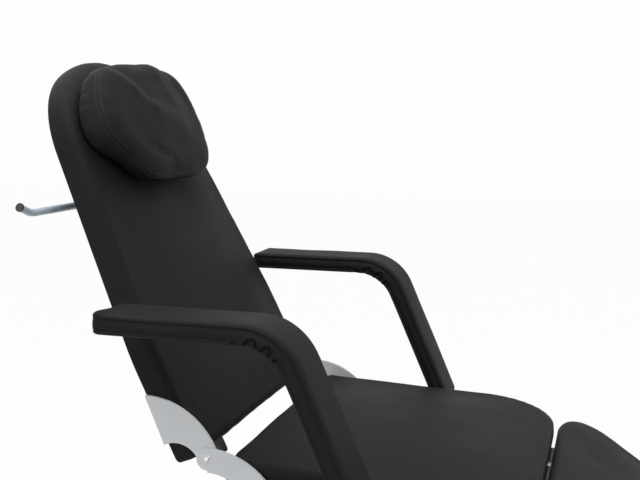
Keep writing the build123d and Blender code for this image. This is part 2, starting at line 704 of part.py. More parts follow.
bracket_outer_y = bracket_inner_y + bracket_thickness
leg_bolt_end_y = bracket_outer_y + leg_nut_thickness
leg_bolt_head_y = lug_outer_y - lug_barrel - plate_play
with BuildPart() as right_leg_bolt:
    with BuildSketch(side_plane(leg_bolt_end_y, leg_hinge_point)):
        Circle(leg_bolt_radius)
    extrude(amount=leg_bolt_head_y - leg_bolt_end_y)
    with BuildSketch(side_plane(leg_bolt_head_y, leg_hinge_point)):
        RegularPolygon(leg_bolt_head_radius, 6, major_radius=True)
    extrude(amount=-leg_bolt_head_height)
write_mirrored_group("leg_hinge_bolts", right_leg_bolt)

with BuildPart() as right_leg_nut:
    with BuildSketch(side_plane(bracket_outer_y, leg_hinge_point)):
        RegularPolygon(leg_nut_radius, 6, major_radius=True)
        Circle(leg_bolt_radius, mode=Mode.SUBTRACT)
    extrude(amount=leg_nut_thickness)
write_mirrored_group("leg_hinge_nuts", right_leg_nut)

# Armrests
arm_inner_y = cushion_half_width + arm_gap
arm_middle_y = arm_inner_y + arm_width / 2
arm_half = arm_thickness / 2
arm_corner_z = arm_top - arm_half
arm_leg_length = (arm_corner_z + arm_pad_end) / cos(rake)
core_rear_x = arm_rear_x - arm_core_setback
core_length = arm_leg_length + socket_drop / cos(rake) + core_in_socket
with BuildPart() as right_arm_pad:
    levels = [(-w, i) for w, i in arm_level_shares] + [(w, i) for w, i in reversed(arm_level_shares[:-1])]
    for across, inset in levels:
        draw = inset * arm_edge_round
        with BuildSketch(side_plane(arm_middle_y + across * arm_width / 2)):
            bent_bar(arm_half - draw, arm_rear_x - draw, arm_leg_length - draw, arm_end_round)
    loft(ruled=True)
    with BuildSketch(side_plane(arm_middle_y - arm_core_width / 2)):
        bent_bar(arm_core_thickness / 2, core_rear_x, arm_leg_length + overrun, arm_core_round)
    extrude(amount=arm_core_width, mode=Mode.SUBTRACT)
write_pair("arm_pad", right_arm_pad)

with BuildPart() as right_arm_core:
    with BuildSketch(side_plane(arm_middle_y - arm_core_width / 2)):
        core_corner = bent_bar(arm_core_thickness / 2, core_rear_x, core_length, arm_core_round)
    extrude(amount=arm_core_width)
    with BuildSketch(side_plane(arm_middle_y - arm_core_width / 2 + arm_core_wall)):
        bent_bar(arm_core_thickness / 2 - arm_core_wall, core_rear_x - arm_core_wall, core_length + overrun,
                 arm_core_round)
    extrude(amount=arm_core_width - 2 * arm_core_wall, mode=Mode.SUBTRACT)
write_pair("arm_core", right_arm_core)

# Arm sockets: slanting tubes, each welded to its seat rail by a short arm
corner_point = hinge_point + Vector(core_corner.X, -arm_middle_y, core_corner.Y)
mouth_length = arm_leg_length + socket_drop / cos(rake)
socket_mouth = corner_point + arm_direction * mouth_length
socket_in = (arm_core_thickness + 2 * socket_fit, arm_core_width + 2 * socket_fit)
socket_out = (socket_in[0] + 2 * socket_wall, socket_in[1] + 2 * socket_wall)
knob_point = socket_mouth + arm_direction * knob_below_mouth
socket_front = socket_out[0] / 2
with BuildPart() as right_arm_socket:
    with BuildSketch(Plane(origin=socket_mouth, x_dir=arm_normal, z_dir=arm_direction)):
        Rectangle(*socket_out)
    extrude(amount=socket_length)
    # the short arm, at the height of the rail
    arm_x = socket_mouth.X + (socket_mouth.Z - rail_middle_z) * tan(rake)
    with BuildSketch(Plane(origin=(arm_x, -frame_reach_y, rail_middle_z), x_dir=(1, 0, 0), z_dir=(0, -1, 0))):
        Rectangle(tube, socket_arm_height)
    extrude(amount=arm_middle_y - frame_reach_y)
    # the threaded boss for the clamp knob
    with BuildSketch(Plane(origin=knob_point + arm_normal * (socket_in[0] / 2), z_dir=arm_normal)):
        Circle(knob_neck_radius)
    extrude(amount=socket_wall + knob_neck)
    with BuildSketch(Plane(origin=socket_mouth - arm_direction * overrun, x_dir=arm_normal, z_dir=arm_direction)):
        Rectangle(*socket_in)
    extrude(amount=socket_length + 2 * overrun, mode=Mode.SUBTRACT)
    with BuildSketch(Plane(origin=knob_point, z_dir=arm_normal)):
        Circle(screw_radius + screw_fit)
    extrude(amount=socket_front + 2 * knob_neck, mode=Mode.SUBTRACT)
write_pair("arm_socket", right_arm_socket)


def clamp_knob(tip, direction, reach):
    """A lobed knob, whose screw starts at tip and whose grip starts at reach along direction."""
    with BuildSketch(Plane(origin=tip, z_dir=direction)) as screw:
        Circle(screw_radius)
    extrude(screw.sketch, amount=reach + knob_height / 2)
    with BuildSketch(Plane(origin=tip + direction * reach, z_dir=direction)) as grip:
        Circle(knob_radius)
        with PolarLocations(knob_radius + knob_lobe_radius / 2, knob_lobes):
            Circle(knob_lobe_radius, mode=Mode.SUBTRACT)
    extrude(grip.sketch, amount=knob_height)


knob_gap = tip_clearance
with BuildPart() as right_arm_knob:
    tip_offset = arm_core_thickness / 2 + tip_clearance
    clamp_knob(knob_point + arm_normal * tip_offset, arm_normal,
               socket_in[0] / 2 + socket_wall + knob_neck + knob_gap - tip_offset)
write_pair("arm_knob", right_arm_knob)

# Head pillow, held on the backrest by its own strips
pillow_low_n = back_rear_n + back_thickness + pillow_clearance
with BuildPart() as head_pillow:
    pillow_plane = Plane(origin=hinge_point + back_direction * pillow_middle_s, x_dir=(0, 1, 0), z_dir=back_normal)
    for height, scale in pillow_level_shares:
        with BuildSketch(pillow_plane.offset(pillow_low_n + height * pillow_thickness)):
            pillow_outline(scale)
    loft(ruled=True)
write("head_pillow", head_pillow)

# Paper roll bar: a tube across the back whose free end turns up
bar_axis = hinge_point + back_direction * bar_s + back_normal * bar_n
tip_turn = radians(bar_tip_turn)
tip_direction = Vector(0, -cos(tip_turn), sin(tip_turn))
bar_bend = bar_axis - Vector(0, bar_bend_reach, 0)
bar_tip = bar_bend + tip_direction * bar_tip_length
with BuildPart() as roll_bar:
    with BuildLine() as bar_path:
        FilletPolyline(bar_axis + Vector(0, bar_root_y, 0), bar_bend, bar_tip, radius=bar_bend_radius)
    with BuildSketch(Plane(origin=bar_axis + Vector(0, bar_root_y, 0), z_dir=(0, -1, 0))):
        Circle(bar_radius)
        Circle(bar_radius - bar_wall, mode=Mode.SUBTRACT)
    sweep(path=bar_path.line)
write("roll_bar", roll_bar)

with BuildPart() as roll_bar_cap:
    with BuildSketch(Plane(origin=bar_tip, z_dir=tip_direction)):
        Circle(bar_cap_radius)
    extrude(amount=bar_cap_length)
    fillet(roll_bar_cap.edges().filter_by(GeomType.CIRCLE).sort_by(Axis.Y)[0], bar_wall / 2)
    with BuildSketch(Plane(origin=bar_tip, z_dir=tip_direction)):
        Circle(bar_radius - bar_wall - cap_fit)
    extrude(amount=-cap_plug)
write("roll_bar_cap", roll_bar_cap)

# Its socket on the back board
board_rear_n = back_rear_n - back_board_thickness
socket_rear_n = bar_n - bar_socket_back
socket_plane = Plane(origin=hinge_point + back_direction * bar_s + Vector(0, bar_socket_y, 0), x_dir=(0, 1, 0),
                     z_dir=back_normal)
with BuildPart() as roll_bar_socket:
    with BuildSketch(socket_plane.offset(board_rear_n)):
        Rectangle(bar_socket_width, bar_socket_foot_height)
    extrude(amount=-bar_socket_foot)
    with BuildSketch(socket_plane.offset(board_rear_n)):
        Rectangle(bar_socket_width, bar_socket_height)
    extrude(amount=socket_rear_n - board_rear_n)
    with BuildSketch(Plane(origin=bar_axis + Vector(0, bar_socket_y, 0), z_dir=(0, -1, 0))):
        Circle(bar_radius + bar_fit)
    extrude(amount=bar_socket_width / 2 + overrun, both=True, mode=Mode.SUBTRACT)
    with BuildSketch(socket_plane.offset(bar_n)):
        Circle(screw_radius + screw_fit)
    extrude(amount=-2 * bar_socket_back, mode=Mode.SUBTRACT)
write("roll_bar_socket", roll_bar_socket)

with BuildPart() as roll_bar_knob:
    tip = socket_plane.origin + back_normal * (bar_n - bar_radius - tip_clearance)
    clamp_knob(tip, -back_normal, bar_socket_back - bar_radius - tip_clearance + knob_gap)
write("roll_bar_knob", roll_bar_knob)


# Screws with low round heads
def board_screw(point, direction):
    """A screw whose head lies on point; direction points out of the board."""
    with BuildSketch(Plane(origin=point, z_dir=direction)) as head:
        Circle(board_screw_radius)
    extrude(head.sketch, amount=board_screw_head)


screw_rows = [(side * back_rail_y, s) for side in (-1, 1)
              for s in (back_cross_low_s, (back_cross_low_s + back_cross_top_s) / 2, back_cross_top_s)]
with BuildPart() as back_board_screws:
    for y, s in screw_rows:
        board_screw(hinge_point + back_direction * s + back_normal * board_rear_n + Vector(0, y, 0), -back_normal)
write("back_board_screws", back_board_screws)

with BuildPart() as roll_socket_screws:
    lift = (bar_socket_height + bar_socket_foot_height) / 4
    for s in (-lift, lift):
        board_screw(socket_plane.origin + back_direction * s + back_normal * (board_rear_n - bar_socket_foot),
                    -back_normal)
write("roll_socket_screws", roll_socket_screws)

leg_screw_us = (leg_rail_start + tube, (leg_rail_start + leg_rail_end) / 2, leg_rail_end - tube)
with BuildPart() as leg_frame_screws:
    for y in (-leg_rail_y, leg_rail_y):
        for u in leg_screw_us:
            board_screw(leg_hinge_point + leg_direction * u + leg_normal * (leg_board_w - tube) + Vector(0, y, 0),
                        -leg_normal)
write("leg_frame_screws", leg_frame_screws)
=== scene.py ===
import json
from math import atan2, cos, pi, radians, sin, tan

import bpy
import numpy as np
from mathutils.bvhtree import BVHTree
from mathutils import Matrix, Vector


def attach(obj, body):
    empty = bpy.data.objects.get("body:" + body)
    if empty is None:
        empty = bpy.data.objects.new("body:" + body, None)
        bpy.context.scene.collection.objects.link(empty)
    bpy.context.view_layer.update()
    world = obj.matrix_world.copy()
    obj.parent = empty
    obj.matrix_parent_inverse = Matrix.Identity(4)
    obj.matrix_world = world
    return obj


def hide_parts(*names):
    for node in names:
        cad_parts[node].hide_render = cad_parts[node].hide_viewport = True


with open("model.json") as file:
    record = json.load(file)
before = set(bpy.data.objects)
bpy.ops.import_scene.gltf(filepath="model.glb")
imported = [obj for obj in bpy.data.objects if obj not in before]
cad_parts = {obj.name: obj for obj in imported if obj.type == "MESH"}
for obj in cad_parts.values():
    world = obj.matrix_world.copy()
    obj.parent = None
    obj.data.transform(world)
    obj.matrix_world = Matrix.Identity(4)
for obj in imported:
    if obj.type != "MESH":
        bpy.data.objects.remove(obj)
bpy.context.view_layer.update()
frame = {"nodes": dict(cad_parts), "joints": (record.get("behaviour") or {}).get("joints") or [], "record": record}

MM = 0.001
JOINTS = {joint["name"]: joint for joint in frame["joints"]}
HINGE = np.array(JOINTS["backrest_hinge"]["pos_m"])
LEG_HINGE = np.array(JOINTS["leg_rest_hinge"]["pos_m"])
BACK_LEAN = radians(25.7)
LEG_DROP = radians(34.5)
SEAT_SLOPE = radians(2.0)
ARM_RAKE = radians(23.6)
HALF_WIDTH = 285 * MM

# The camera stands where the photograph was taken from
CAMERA_PLACE = HINGE + np.array((615.1, -1654.0, 551.8)) * MM
CAMERA_TURN = radians(17.33)
CAMERA_TILT = radians(7.48)
CAMERA_LENS = 53.63


def axes(origin, along, up):
    """A local frame as origin and three axes: x across the chair, y along, z up out of the soft face."""
    along, up = np.array(along, float), np.array(up, float)
    return origin, np.array((np.cross(along, up), along, up))


BACK = axes(HINGE, (-sin(BACK_LEAN), 0, cos(BACK_LEAN)), (cos(BACK_LEAN), 0, sin(BACK_LEAN)))
LEG = axes(LEG_HINGE, (cos(LEG_DROP), 0, -sin(LEG_DROP)), (sin(LEG_DROP), 0, cos(LEG_DROP)))
SEAT = axes(HINGE, (1, 0, 0), (0, 0, 1))


# Small helpers for arrays
WAVES = 5
ARC_POINTS = 25
CURVE_STEPS = 24
TINY = 1e-12


def smooth(low, high, value):
    """Smoothstep: 0 below low, 1 above high, and 3t^2 - 2t^3 between them."""
    t = np.clip((value - low) / (high - low), 0, 1)
    return t * t * (3 - 2 * t)


def bell(value, middle, width):
    """A Gaussian hump of height 1 about middle."""
    return np.exp(-((value - middle) / width) ** 2)


def ripple(x, y, seed, wavelength):
    """Sine waves added up and scaled to about -1 to 1, with directions and phases from a seeded generator.

    Their lengths lie between 0.6 and 1.5 times the wavelength.
    """
    rng = np.random.default_rng(seed)
    total = np.zeros(np.broadcast(x, y).shape)
    for turn, stretch, phase in rng.random((WAVES, 3)):
        angle, size = 2 * pi * turn, wavelength * (0.6 + 0.9 * stretch)
        total += np.sin(2 * pi * (x * np.cos(angle) + y * np.sin(angle)) / size + 2 * pi * phase)
    return total / 3


def to_row(local_frame, points):
    """Points of a local frame, in metres, in the row's frame."""
    origin, matrix = local_frame
    return origin + points @ matrix


def grid_normals(grid):
    """Unit normals of a closed ring grid: the cross product of its two central differences."""
    around = np.roll(grid, -1, 1) - np.roll(grid, 1, 1)
    across = np.gradient(grid, axis=0)
    normal = np.cross(around, across)
    length = np.linalg.norm(normal, axis=2, keepdims=True)
    return normal / np.maximum(length, TINY)


def corner_arc(before, here, after, radius):
    """Points of the arc of one radius that touches both sides of a corner."""
    back, ahead = before - here, after - here
    back, ahead = back / np.linalg.norm(back), ahead / np.linalg.norm(ahead)
    half = np.arccos(np.clip(back @ ahead, -1, 1)) / 2
    centre = here + (back + ahead) / np.linalg.norm(back + ahead) * radius / np.sin(half)
    start, end = here + back * radius / np.tan(half) - centre, here + ahead * radius / np.tan(half) - centre
    t = np.linspace(0, 1, ARC_POINTS)[:, None]
    arc = start * np.sin((1 - t) * (pi - 2 * half)) + end * np.sin(t * (pi - 2 * half))
    return centre + arc / np.sin(pi - 2 * half)


def even_ring(points, count):
    """A closed line of points, spaced evenly along its length."""
    ring = np.vstack((points, points[:1]))
    steps = np.concatenate(([0], np.cumsum(np.linalg.norm(np.diff(ring, axis=0), axis=1))))
    places = np.linspace(0, steps[-1], count, endpoint=False)
    return np.stack([np.interp(places, steps, ring[:, k]) for k in (0, 1)], axis=1)


def rounded_outline(corners, radii, count):
    """A polygon with each corner rounded by its own radius, spaced evenly."""
    corners = np.array(corners, float)
    arcs = [corner_arc(*group) for group in zip(np.roll(corners, 1, 0), corners, np.roll(corners, -1, 0), radii)]
    return even_ring(np.concatenate(arcs), count)


def closed_curve(points, count):
    """A closed Catmull-Rom curve through a few points, spaced evenly along its length."""
    here = np.array(points, float)
    before, after, later = (np.roll(here, k, 0) for k in (1, -1, -2))
    t = np.linspace(0, 1, CURVE_STEPS, endpoint=False)[:, None, None]
    curve = 0.5 * (2 * here + (after - before) * t + (2 * before - 5 * here + 4 * after - later) * t ** 2
                   + (3 * here - before - 3 * after + later) * t ** 3)
    return even_ring(curve.transpose(1, 0, 2).reshape(-1, 2), count)


def outline_normals(ring):
    """Unit normals of a closed ring that runs anticlockwise, pointing out."""
    step = np.roll(ring, -1, 0) - np.roll(ring, 1, 0)
    step /= np.linalg.norm(step, axis=1, keepdims=True)
    return np.stack((step[:, 1], -step[:, 0]), axis=1)


# Meshes
def mesh_piece(name, points, faces, body, slot, material):
    """A smooth mesh object at the origin, riding on a body."""
    mesh = bpy.data.meshes.new(name)
    mesh.from_pydata(points.reshape(-1, 3).tolist(), [], faces)
    mesh.shade_smooth()
    mesh.validate()
    piece = bpy.data.objects.new(name, mesh)
    bpy.context.scene.collection.objects.link(piece)
    mesh.materials.append(material)
    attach(piece, body)
    return piece


def closed_grid(rows, columns):
    """Faces of a grid closed round its columns, with one pole before the first row and one after the last."""
    place = np.arange(rows * columns).reshape(rows, columns)
    nearby = np.roll(place, -1, 1)
    quads = np.stack((place[:-1], nearby[:-1], nearby[1:], place[1:]), axis=-1).reshape(-1, 4)
    first, last = rows * columns, rows * columns + 1
    low = np.stack((np.full(columns, first), nearby[0], place[0]), axis=-1)
    high = np.stack((np.full(columns, last), place[-1], nearby[-1]), axis=-1)
    return quads.tolist() + low.tolist() + high.tolist()


def closed_piece(name, grid, poles, *dressing):
    """A closed surface from rings, with its two poles given as points."""
    points = np.vstack((grid.reshape(-1, 3), np.array(poles).reshape(-1, 3)))
    return mesh_piece(name, points, closed_grid(*grid.shape[:2]), *dressing)


# How many rings a pad has on its underside, its foot, its side, its edge and its top, and how they crowd outwards
UNDER_RINGS, FOOT_RINGS, SIDE_RINGS, EDGE_RINGS, TOP_RINGS = 16, 5, 9, 15, 60
TOP_CROWDING = 1.3
POLE_SHARE = 0.03
LEAST_SLANT = 0.35
MOST_DRAWN = 0.9


def pad_grid(ring, thickness, edge_in, edge_down, crown, power, bulge, foot=2.5 * MM):
    """Rings of an upholstered pad over a flat outline, from the middle of its underside to that of its top.

    The side bulges by bulge * sin(pi t) with the share t of its height, and a quarter ellipse with the half
    axes edge_in and edge_down, one value for all or one for each point of the outline, turns it into the top.
    The top rises by crown * (1 - |x/w|^power) * (1 - |y/h|^power) * (1 - r^3), with w and h the half sizes
    and r the share of the way from the middle out to the edge.
    """
    middle = (ring.max(0) + ring.min(0)) / 2
    to_middle = middle - ring
    length = np.linalg.norm(to_middle, axis=1)
    slant = np.maximum(-(to_middle * outline_normals(ring)).sum(1) / length, LEAST_SLANT)

    def drawn_in(distance):
        return ring + to_middle * np.minimum(distance / slant / length, MOST_DRAWN)[:, None]

    def level(flat, height):
        return np.column_stack((flat, np.broadcast_to(height, len(flat))))

    first = drawn_in(bulge + foot)
    grid = [level(middle + (first - middle) * share, 0.0) for share in np.linspace(POLE_SHARE, 1, UNDER_RINGS)]
    for turn in np.linspace(0, pi / 2, FOOT_RINGS)[1:-1]:
        grid.append(level(drawn_in(bulge + foot * (1 - np.sin(turn))), foot * (1 - np.cos(turn))))
    for share in np.linspace(0, 1, SIDE_RINGS):
        inward = bulge * (1 - np.sin(pi * share))
        grid.append(level(drawn_in(inward), foot + (thickness - edge_down - foot) * share))
    for turn in np.linspace(0, pi / 2, EDGE_RINGS)[1:]:
        inward = bulge + edge_in * (1 - np.cos(turn))
        grid.append(level(drawn_in(inward), thickness - edge_down * (1 - np.sin(turn))))
    last = grid[-1][:, :2]
    half = np.abs(last - middle).max(0)
    for share in np.linspace(0, 1, TOP_RINGS, endpoint=False)[1:] ** TOP_CROWDING:
        flat = last + (middle - last) * share
        swell = np.prod(1 - (np.abs(flat - middle) / half) ** power, axis=1)
        grid.append(level(flat, thickness + crown * swell * (1 - (1 - share) ** 3)))
    return np.array(grid)


def pad_poles(grid):
    """The middle points of the first and the last ring."""
    return [grid[0].mean(0), grid[-1].mean(0)]


def fold(x, y, start, end, width):
    """A ridge of height 1 along the line from start to end: a Gaussian of the distance to it."""
    start, end = np.array(start), np.array(end)
    run = end - start
    share = np.clip(((x - start[0]) * run[0] + (y - start[1]) * run[1]) / (run @ run), 0, 1)
    return np.exp(-((x - start[0] - share * run[0]) ** 2 + (y - start[1] - share * run[1]) ** 2) / width ** 2)


# Materials
def socket(group, name, kind, direction, value=None):
    """A new socket of a node group."""
    made = group.interface.new_socket(name=name, in_out=direction, socket_type=kind)
    if value is not None:
        made.default_value = value


def link(tree, *pairs):
    """Links from one socket to another, given as pairs."""
    for source, target in pairs:
        tree.links.new(source, target)


def shader_node(tree, kind, constants=(), **settings):
    """A new shader node with its settings and the constants of its inputs."""
    made = tree.nodes.new(f"ShaderNode{kind}")
    for name, value in settings.items():
        setattr(made, name, value)
    for name, value in dict(constants).items():
        made.inputs[name].default_value = value
    return made


def group_ends(group):
    """The nodes that stand for a group's inputs and outputs."""
    return group.nodes.new("NodeGroupInput"), group.nodes.new("NodeGroupOutput")


def grain_group():
    """Fine pebbled grain as a height: Voronoi cells warped by noise, with a finer noise on them."""
    group = bpy.data.node_groups.new("pebbled grain", "ShaderNodeTree")
    socket(group, "Scale", "NodeSocketFloat", "INPUT", 900.0)
    socket(group, "Height", "NodeSocketFloat", "OUTPUT")
    given, result = group_ends(group)
    place = shader_node(group, "TexCoord").outputs["Object"]
    warp = shader_node(group, "TexNoise", {"Scale": 160, "Detail": 3})
    mixed = shader_node(group, "Mix", {"Factor": 0.006}, data_type="VECTOR")
    cells = shader_node(group, "TexVoronoi", feature="DISTANCE_TO_EDGE")
    fine = shader_node(group, "TexNoise", {"Scale": 1800, "Detail": 2})
    pebble = shader_node(group, "MapRange", {"From Max": 0.28}, interpolation_type="SMOOTHSTEP")
    total = shader_node(group, "Math", {1: 0.35}, operation="MULTIPLY_ADD")
    link(group, (place, warp.inputs["Vector"]), (place, mixed.inputs["A"]), (place, fine.inputs["Vector"]),
         (warp.outputs["Color"], mixed.inputs["B"]), (mixed.outputs["Result"], cells.inputs["Vector"]),
         (given.outputs["Scale"], cells.inputs["Scale"]), (cells.outputs["Distance"], pebble.inputs["Value"]),
         (fine.outputs["Fac"], total.inputs[0]), (pebble.outputs["Result"], total.inputs[2]),
         (total.outputs["Value"], result.inputs["Height"]))
    return group


def mottle_group():
    """Slow variation of a colour: noise between a darker and a lighter tone."""
    group = bpy.data.node_groups.new("mottled tone", "ShaderNodeTree")
    socket(group, "Scale", "NodeSocketFloat", "INPUT", 9.0)
    socket(group, "Dark", "NodeSocketColor", "INPUT", (0.02, 0.02, 0.02, 1))
    socket(group, "Light", "NodeSocketColor", "INPUT", (0.04, 0.04, 0.04, 1))
    socket(group, "Tone", "NodeSocketColor", "OUTPUT")
    socket(group, "Mask", "NodeSocketFloat", "OUTPUT")
    given, result = group_ends(group)
    place = shader_node(group, "TexCoord")
    noise = shader_node(group, "TexNoise", {"Detail": 6, "Roughness": 0.62})
    spread = shader_node(group, "MapRange", {"From Min": 0.3, "From Max": 0.7})
    tone = shader_node(group, "Mix", data_type="RGBA")
    mask = spread.outputs["Result"]
    link(group, (place.outputs["Object"], noise.inputs["Vector"]), (given.outputs["Scale"], noise.inputs["Scale"]),
         (noise.outputs["Fac"], spread.inputs["Value"]), (mask, tone.inputs["Factor"]),
         (given.outputs["Dark"], tone.inputs["A"]), (given.outputs["Light"], tone.inputs["B"]),
         (tone.outputs["Result"], result.inputs["Tone"]), (mask, result.inputs["Mask"]))
    return group


def wear_group():
    """Mask of rubbed edges: where n . m falls below 1, broken up by noise.

    n is the face's normal and m the normal rounded over a radius.
    """
    group = bpy.data.node_groups.new("edge wear", "ShaderNodeTree")
    socket(group, "Radius", "NodeSocketFloat", "INPUT", 1.2 * MM)
    socket(group, "Scale", "NodeSocketFloat", "INPUT", 120.0)
    socket(group, "Mask", "NodeSocketFloat", "OUTPUT")
    given, result = group_ends(group)
    rounded = shader_node(group, "Bevel", samples=4)
    plain = shader_node(group, "NewGeometry")
    across = shader_node(group, "VectorMath", operation="DOT_PRODUCT")
    edge = shader_node(group, "MapRange", {"From Min": 0.985, "From Max": 0.8})
    place = shader_node(group, "TexCoord")
    noise = shader_node(group, "TexNoise", {"Detail": 3})
    broken = shader_node(group, "MapRange", {"From Min": 0.48, "From Max": 0.62})
    both = shader_node(group, "Math", operation="MULTIPLY")
    link(group, (given.outputs["Radius"], rounded.inputs["Radius"]), (rounded.outputs["Normal"], across.inputs[0]),
         (plain.outputs["True Normal"], across.inputs[1]), (across.outputs["Value"], edge.inputs["Value"]),
         (place.outputs["Object"], noise.inputs["Vector"]), (given.outputs["Scale"], noise.inputs["Scale"]),
         (noise.outputs["Fac"], broken.inputs["Value"]), (edge.outputs["Result"], both.inputs[0]),
         (broken.outputs["Result"], both.inputs[1]), (both.outputs["Value"], result.inputs["Mask"]))
    return group


GRAIN = grain_group()
MOTTLE = mottle_group()
WEAR = wear_group()


def material(name, dark, light, rough_low, rough_high, tone_scale, grain_scale, grain_depth, grain_strength=0.3,
             metallic=0.0, specular=0.5, rubbed=None):
    """A Principled material of mottled tone, with roughness by the same mask and grain as bump.

    Where rubbed is given, it is the colour of the worn edges.
    """
    made = bpy.data.materials.new(name)
    made.use_nodes = True
    tree = made.node_tree
    shader = tree.nodes["Principled BSDF"]
    shader.inputs["Metallic"].default_value = metallic
    shader.inputs["Specular IOR Level"].default_value = specular
    tone = shader_node(tree, "Group", node_tree=MOTTLE)
    for socket_name, value in (("Scale", tone_scale), ("Dark", (*dark, 1)), ("Light", (*light, 1))):
        tone.inputs[socket_name].default_value = value
    rough = shader_node(tree, "MapRange", {"To Min": rough_low, "To Max": rough_high})
    tint = tone.outputs["Tone"]
    if rubbed:
        wear = shader_node(tree, "Group", node_tree=WEAR)
        worn = shader_node(tree, "Mix", {"B": (*rubbed, 1)}, data_type="RGBA")
        link(tree, (wear.outputs["Mask"], worn.inputs["Factor"]), (tint, worn.inputs["A"]))
        tint = worn.outputs["Result"]
    grain = shader_node(tree, "Group", node_tree=GRAIN)
    grain.inputs["Scale"].default_value = grain_scale
    bump = shader_node(tree, "Bump", {"Distance": grain_depth, "Strength": grain_strength})
    link(tree, (tint, shader.inputs["Base Color"]), (tone.outputs["Mask"], rough.inputs["Value"]),
         (rough.outputs["Result"], shader.inputs["Roughness"]), (grain.outputs["Height"], bump.inputs["Height"]),
         (bump.outputs["Normal"], shader.inputs["Normal"]))
    return made


VINYL = material("black faux leather", (0.0155, 0.0155, 0.016), (0.019, 0.019, 0.0195), 0.5, 0.62,
                 tone_scale=7.0, grain_scale=1000.0, grain_depth=0.25 * MM, grain_strength=0.35, specular=0.05)
THREAD = material("black thread", (0.014, 0.014, 0.0145), (0.022, 0.022, 0.023), 0.55, 0.7, tone_scale=900.0,
                  grain_scale=2500.0, grain_depth=0.1 * MM)
FRAME_PAINT = material("black powder coat", (0.024, 0.0245, 0.027), (0.033, 0.034, 0.037), 0.42, 0.56,
                       tone_scale=18.0, grain_scale=700.0, grain_depth=0.06 * MM, grain_strength=0.25,
                       rubbed=(0.10, 0.10, 0.105))
PLATE_PAINT = material("light grey plate paint", (0.70, 0.72, 0.74), (0.74, 0.76, 0.78), 0.36, 0.46,
                       tone_scale=14.0, grain_scale=800.0, grain_depth=0.05 * MM, grain_strength=0.2,
                       rubbed=(0.55, 0.57, 0.60))
# light grey paint of the bar, with its colour tinted blue: the blue is a painted reflection, not the paint's own
# colour
BAR_PAINT_AND_PAINTED_REFLECTION = material("light grey bar paint", (0.50, 0.57, 0.66), (0.56, 0.63, 0.72), 0.3, 0.4, tone_scale=25.0,
                     grain_scale=900.0, grain_depth=0.05 * MM, grain_strength=0.2)
ZINC = material("zinc plate", (0.52, 0.53, 0.55), (0.66, 0.66, 0.67), 0.24, 0.38, tone_scale=60.0, metallic=1.0,
                grain_scale=1500.0, grain_depth=0.03 * MM, grain_strength=0.2)
BLACK_PLASTIC = material("black moulded plastic", (0.018, 0.018, 0.019), (0.028, 0.028, 0.029), 0.42, 0.58,
                         tone_scale=60.0, grain_scale=1400.0, grain_depth=0.1 * MM, rubbed=(0.06, 0.06, 0.062))
RUBBER = material("black rubber", (0.02, 0.02, 0.02), (0.032, 0.031, 0.03), 0.7, 0.85, tone_scale=50.0,
                  grain_scale=600.0, grain_depth=0.1 * MM)
BOARD = material("board under black lining", (0.012, 0.012, 0.013), (0.02, 0.02, 0.021), 0.78, 0.9,
                 tone_scale=30.0, grain_scale=1600.0, grain_depth=0.2 * MM, grain_strength=0.5)

FINISHES = {"upholstery": VINYL, "board": BOARD, "frame_paint": FRAME_PAINT, "plate_paint": PLATE_PAINT,
            "bar_paint": BAR_PAINT_AND_PAINTED_REFLECTION, "black_plastic": BLACK_PLASTIC, "glide_rubber": RUBBER, "zinc_steel": ZINC}
for part in frame["record"]["subparts"]:
    node = frame["nodes"][part["node"]]
    node.data.materials.clear()
    node.data.materials.append(FINISHES[part["material_slot"]])


# Small shapes repeated along a line: stitches and staples
STITCH_PITCH = 4.2 * MM
STITCH_LENGTH = 3.3 * MM
STITCH_RADIUS = 0.45 * MM
STITCH_TIP = 0.12
STAPLE_PITCH = 38 * MM
# half length and height of a staple's wire from its leg's tip to its bend
STAPLE_PROFILE = np.array(((5.2, -1.2), (5.0, -0.1), (4.4, 0.35))) * MM
STAPLE_WIRE = (0.6 * MM, 0.35 * MM)
ROUND_POINTS = 6


def repeated(name, template, places, along, up, *dressing):
    """One closed grid of points carried to many places, each with its own direction along and up."""
    rows, columns = template.shape[:2]
    shape = np.vstack((template.reshape(-1, 3), template[0].mean(0), template[-1].mean(0)))
    side = np.cross(up, along)
    turned = np.stack((along, side, up), axis=1)
    points = places[:, None, :] + np.einsum("vk,nkj->nvj", shape, turned)
    faces = closed_grid(rows, columns)
    shifts = np.arange(len(places)) * len(shape)
    every = [[corner + shift for corner in face] for shift in shifts.tolist() for face in faces]
    return mesh_piece(name, points, every, *dressing)


def stitch_shape():
    """A stitch: an ellipsoid drawn out along the seam and flattened against it."""
    turn = np.linspace(STITCH_TIP, pi - STITCH_TIP, ROUND_POINTS)[:, None]
    angle = np.linspace(0, 2 * pi, ROUND_POINTS, endpoint=False)[None, :]
    across = STITCH_RADIUS * np.sin(turn)
    return np.stack((-STITCH_LENGTH / 2 * np.cos(turn) + 0 * angle, across * np.cos(angle),
                     0.8 * across * np.sin(angle)), axis=2)


def stitch_row(name, line, up, body):
    """Stitches at an even pitch along a line of points, which lie on the surface whose normals are given."""
    steps = np.concatenate(([0], np.cumsum(np.linalg.norm(np.diff(line, axis=0), axis=1))))
    places = np.arange(STITCH_PITCH / 2, steps[-1] - STITCH_PITCH / 2, STITCH_PITCH)
    middle, ahead, normal = (np.stack([np.interp(places + shift, steps, values[:, k]) for k in range(3)], axis=1)
                             for values, shift in ((line, 0), (line, STITCH_PITCH / 2), (up, 0)))
    normal /= np.linalg.norm(normal, axis=1, keepdims=True)
    along = ahead - middle
    along -= normal * (along * normal).sum(1, keepdims=True)
    along /= np.linalg.norm(along, axis=1, keepdims=True)
    repeated(name, stitch_shape(), middle, along, normal, body, "upholstery", THREAD)


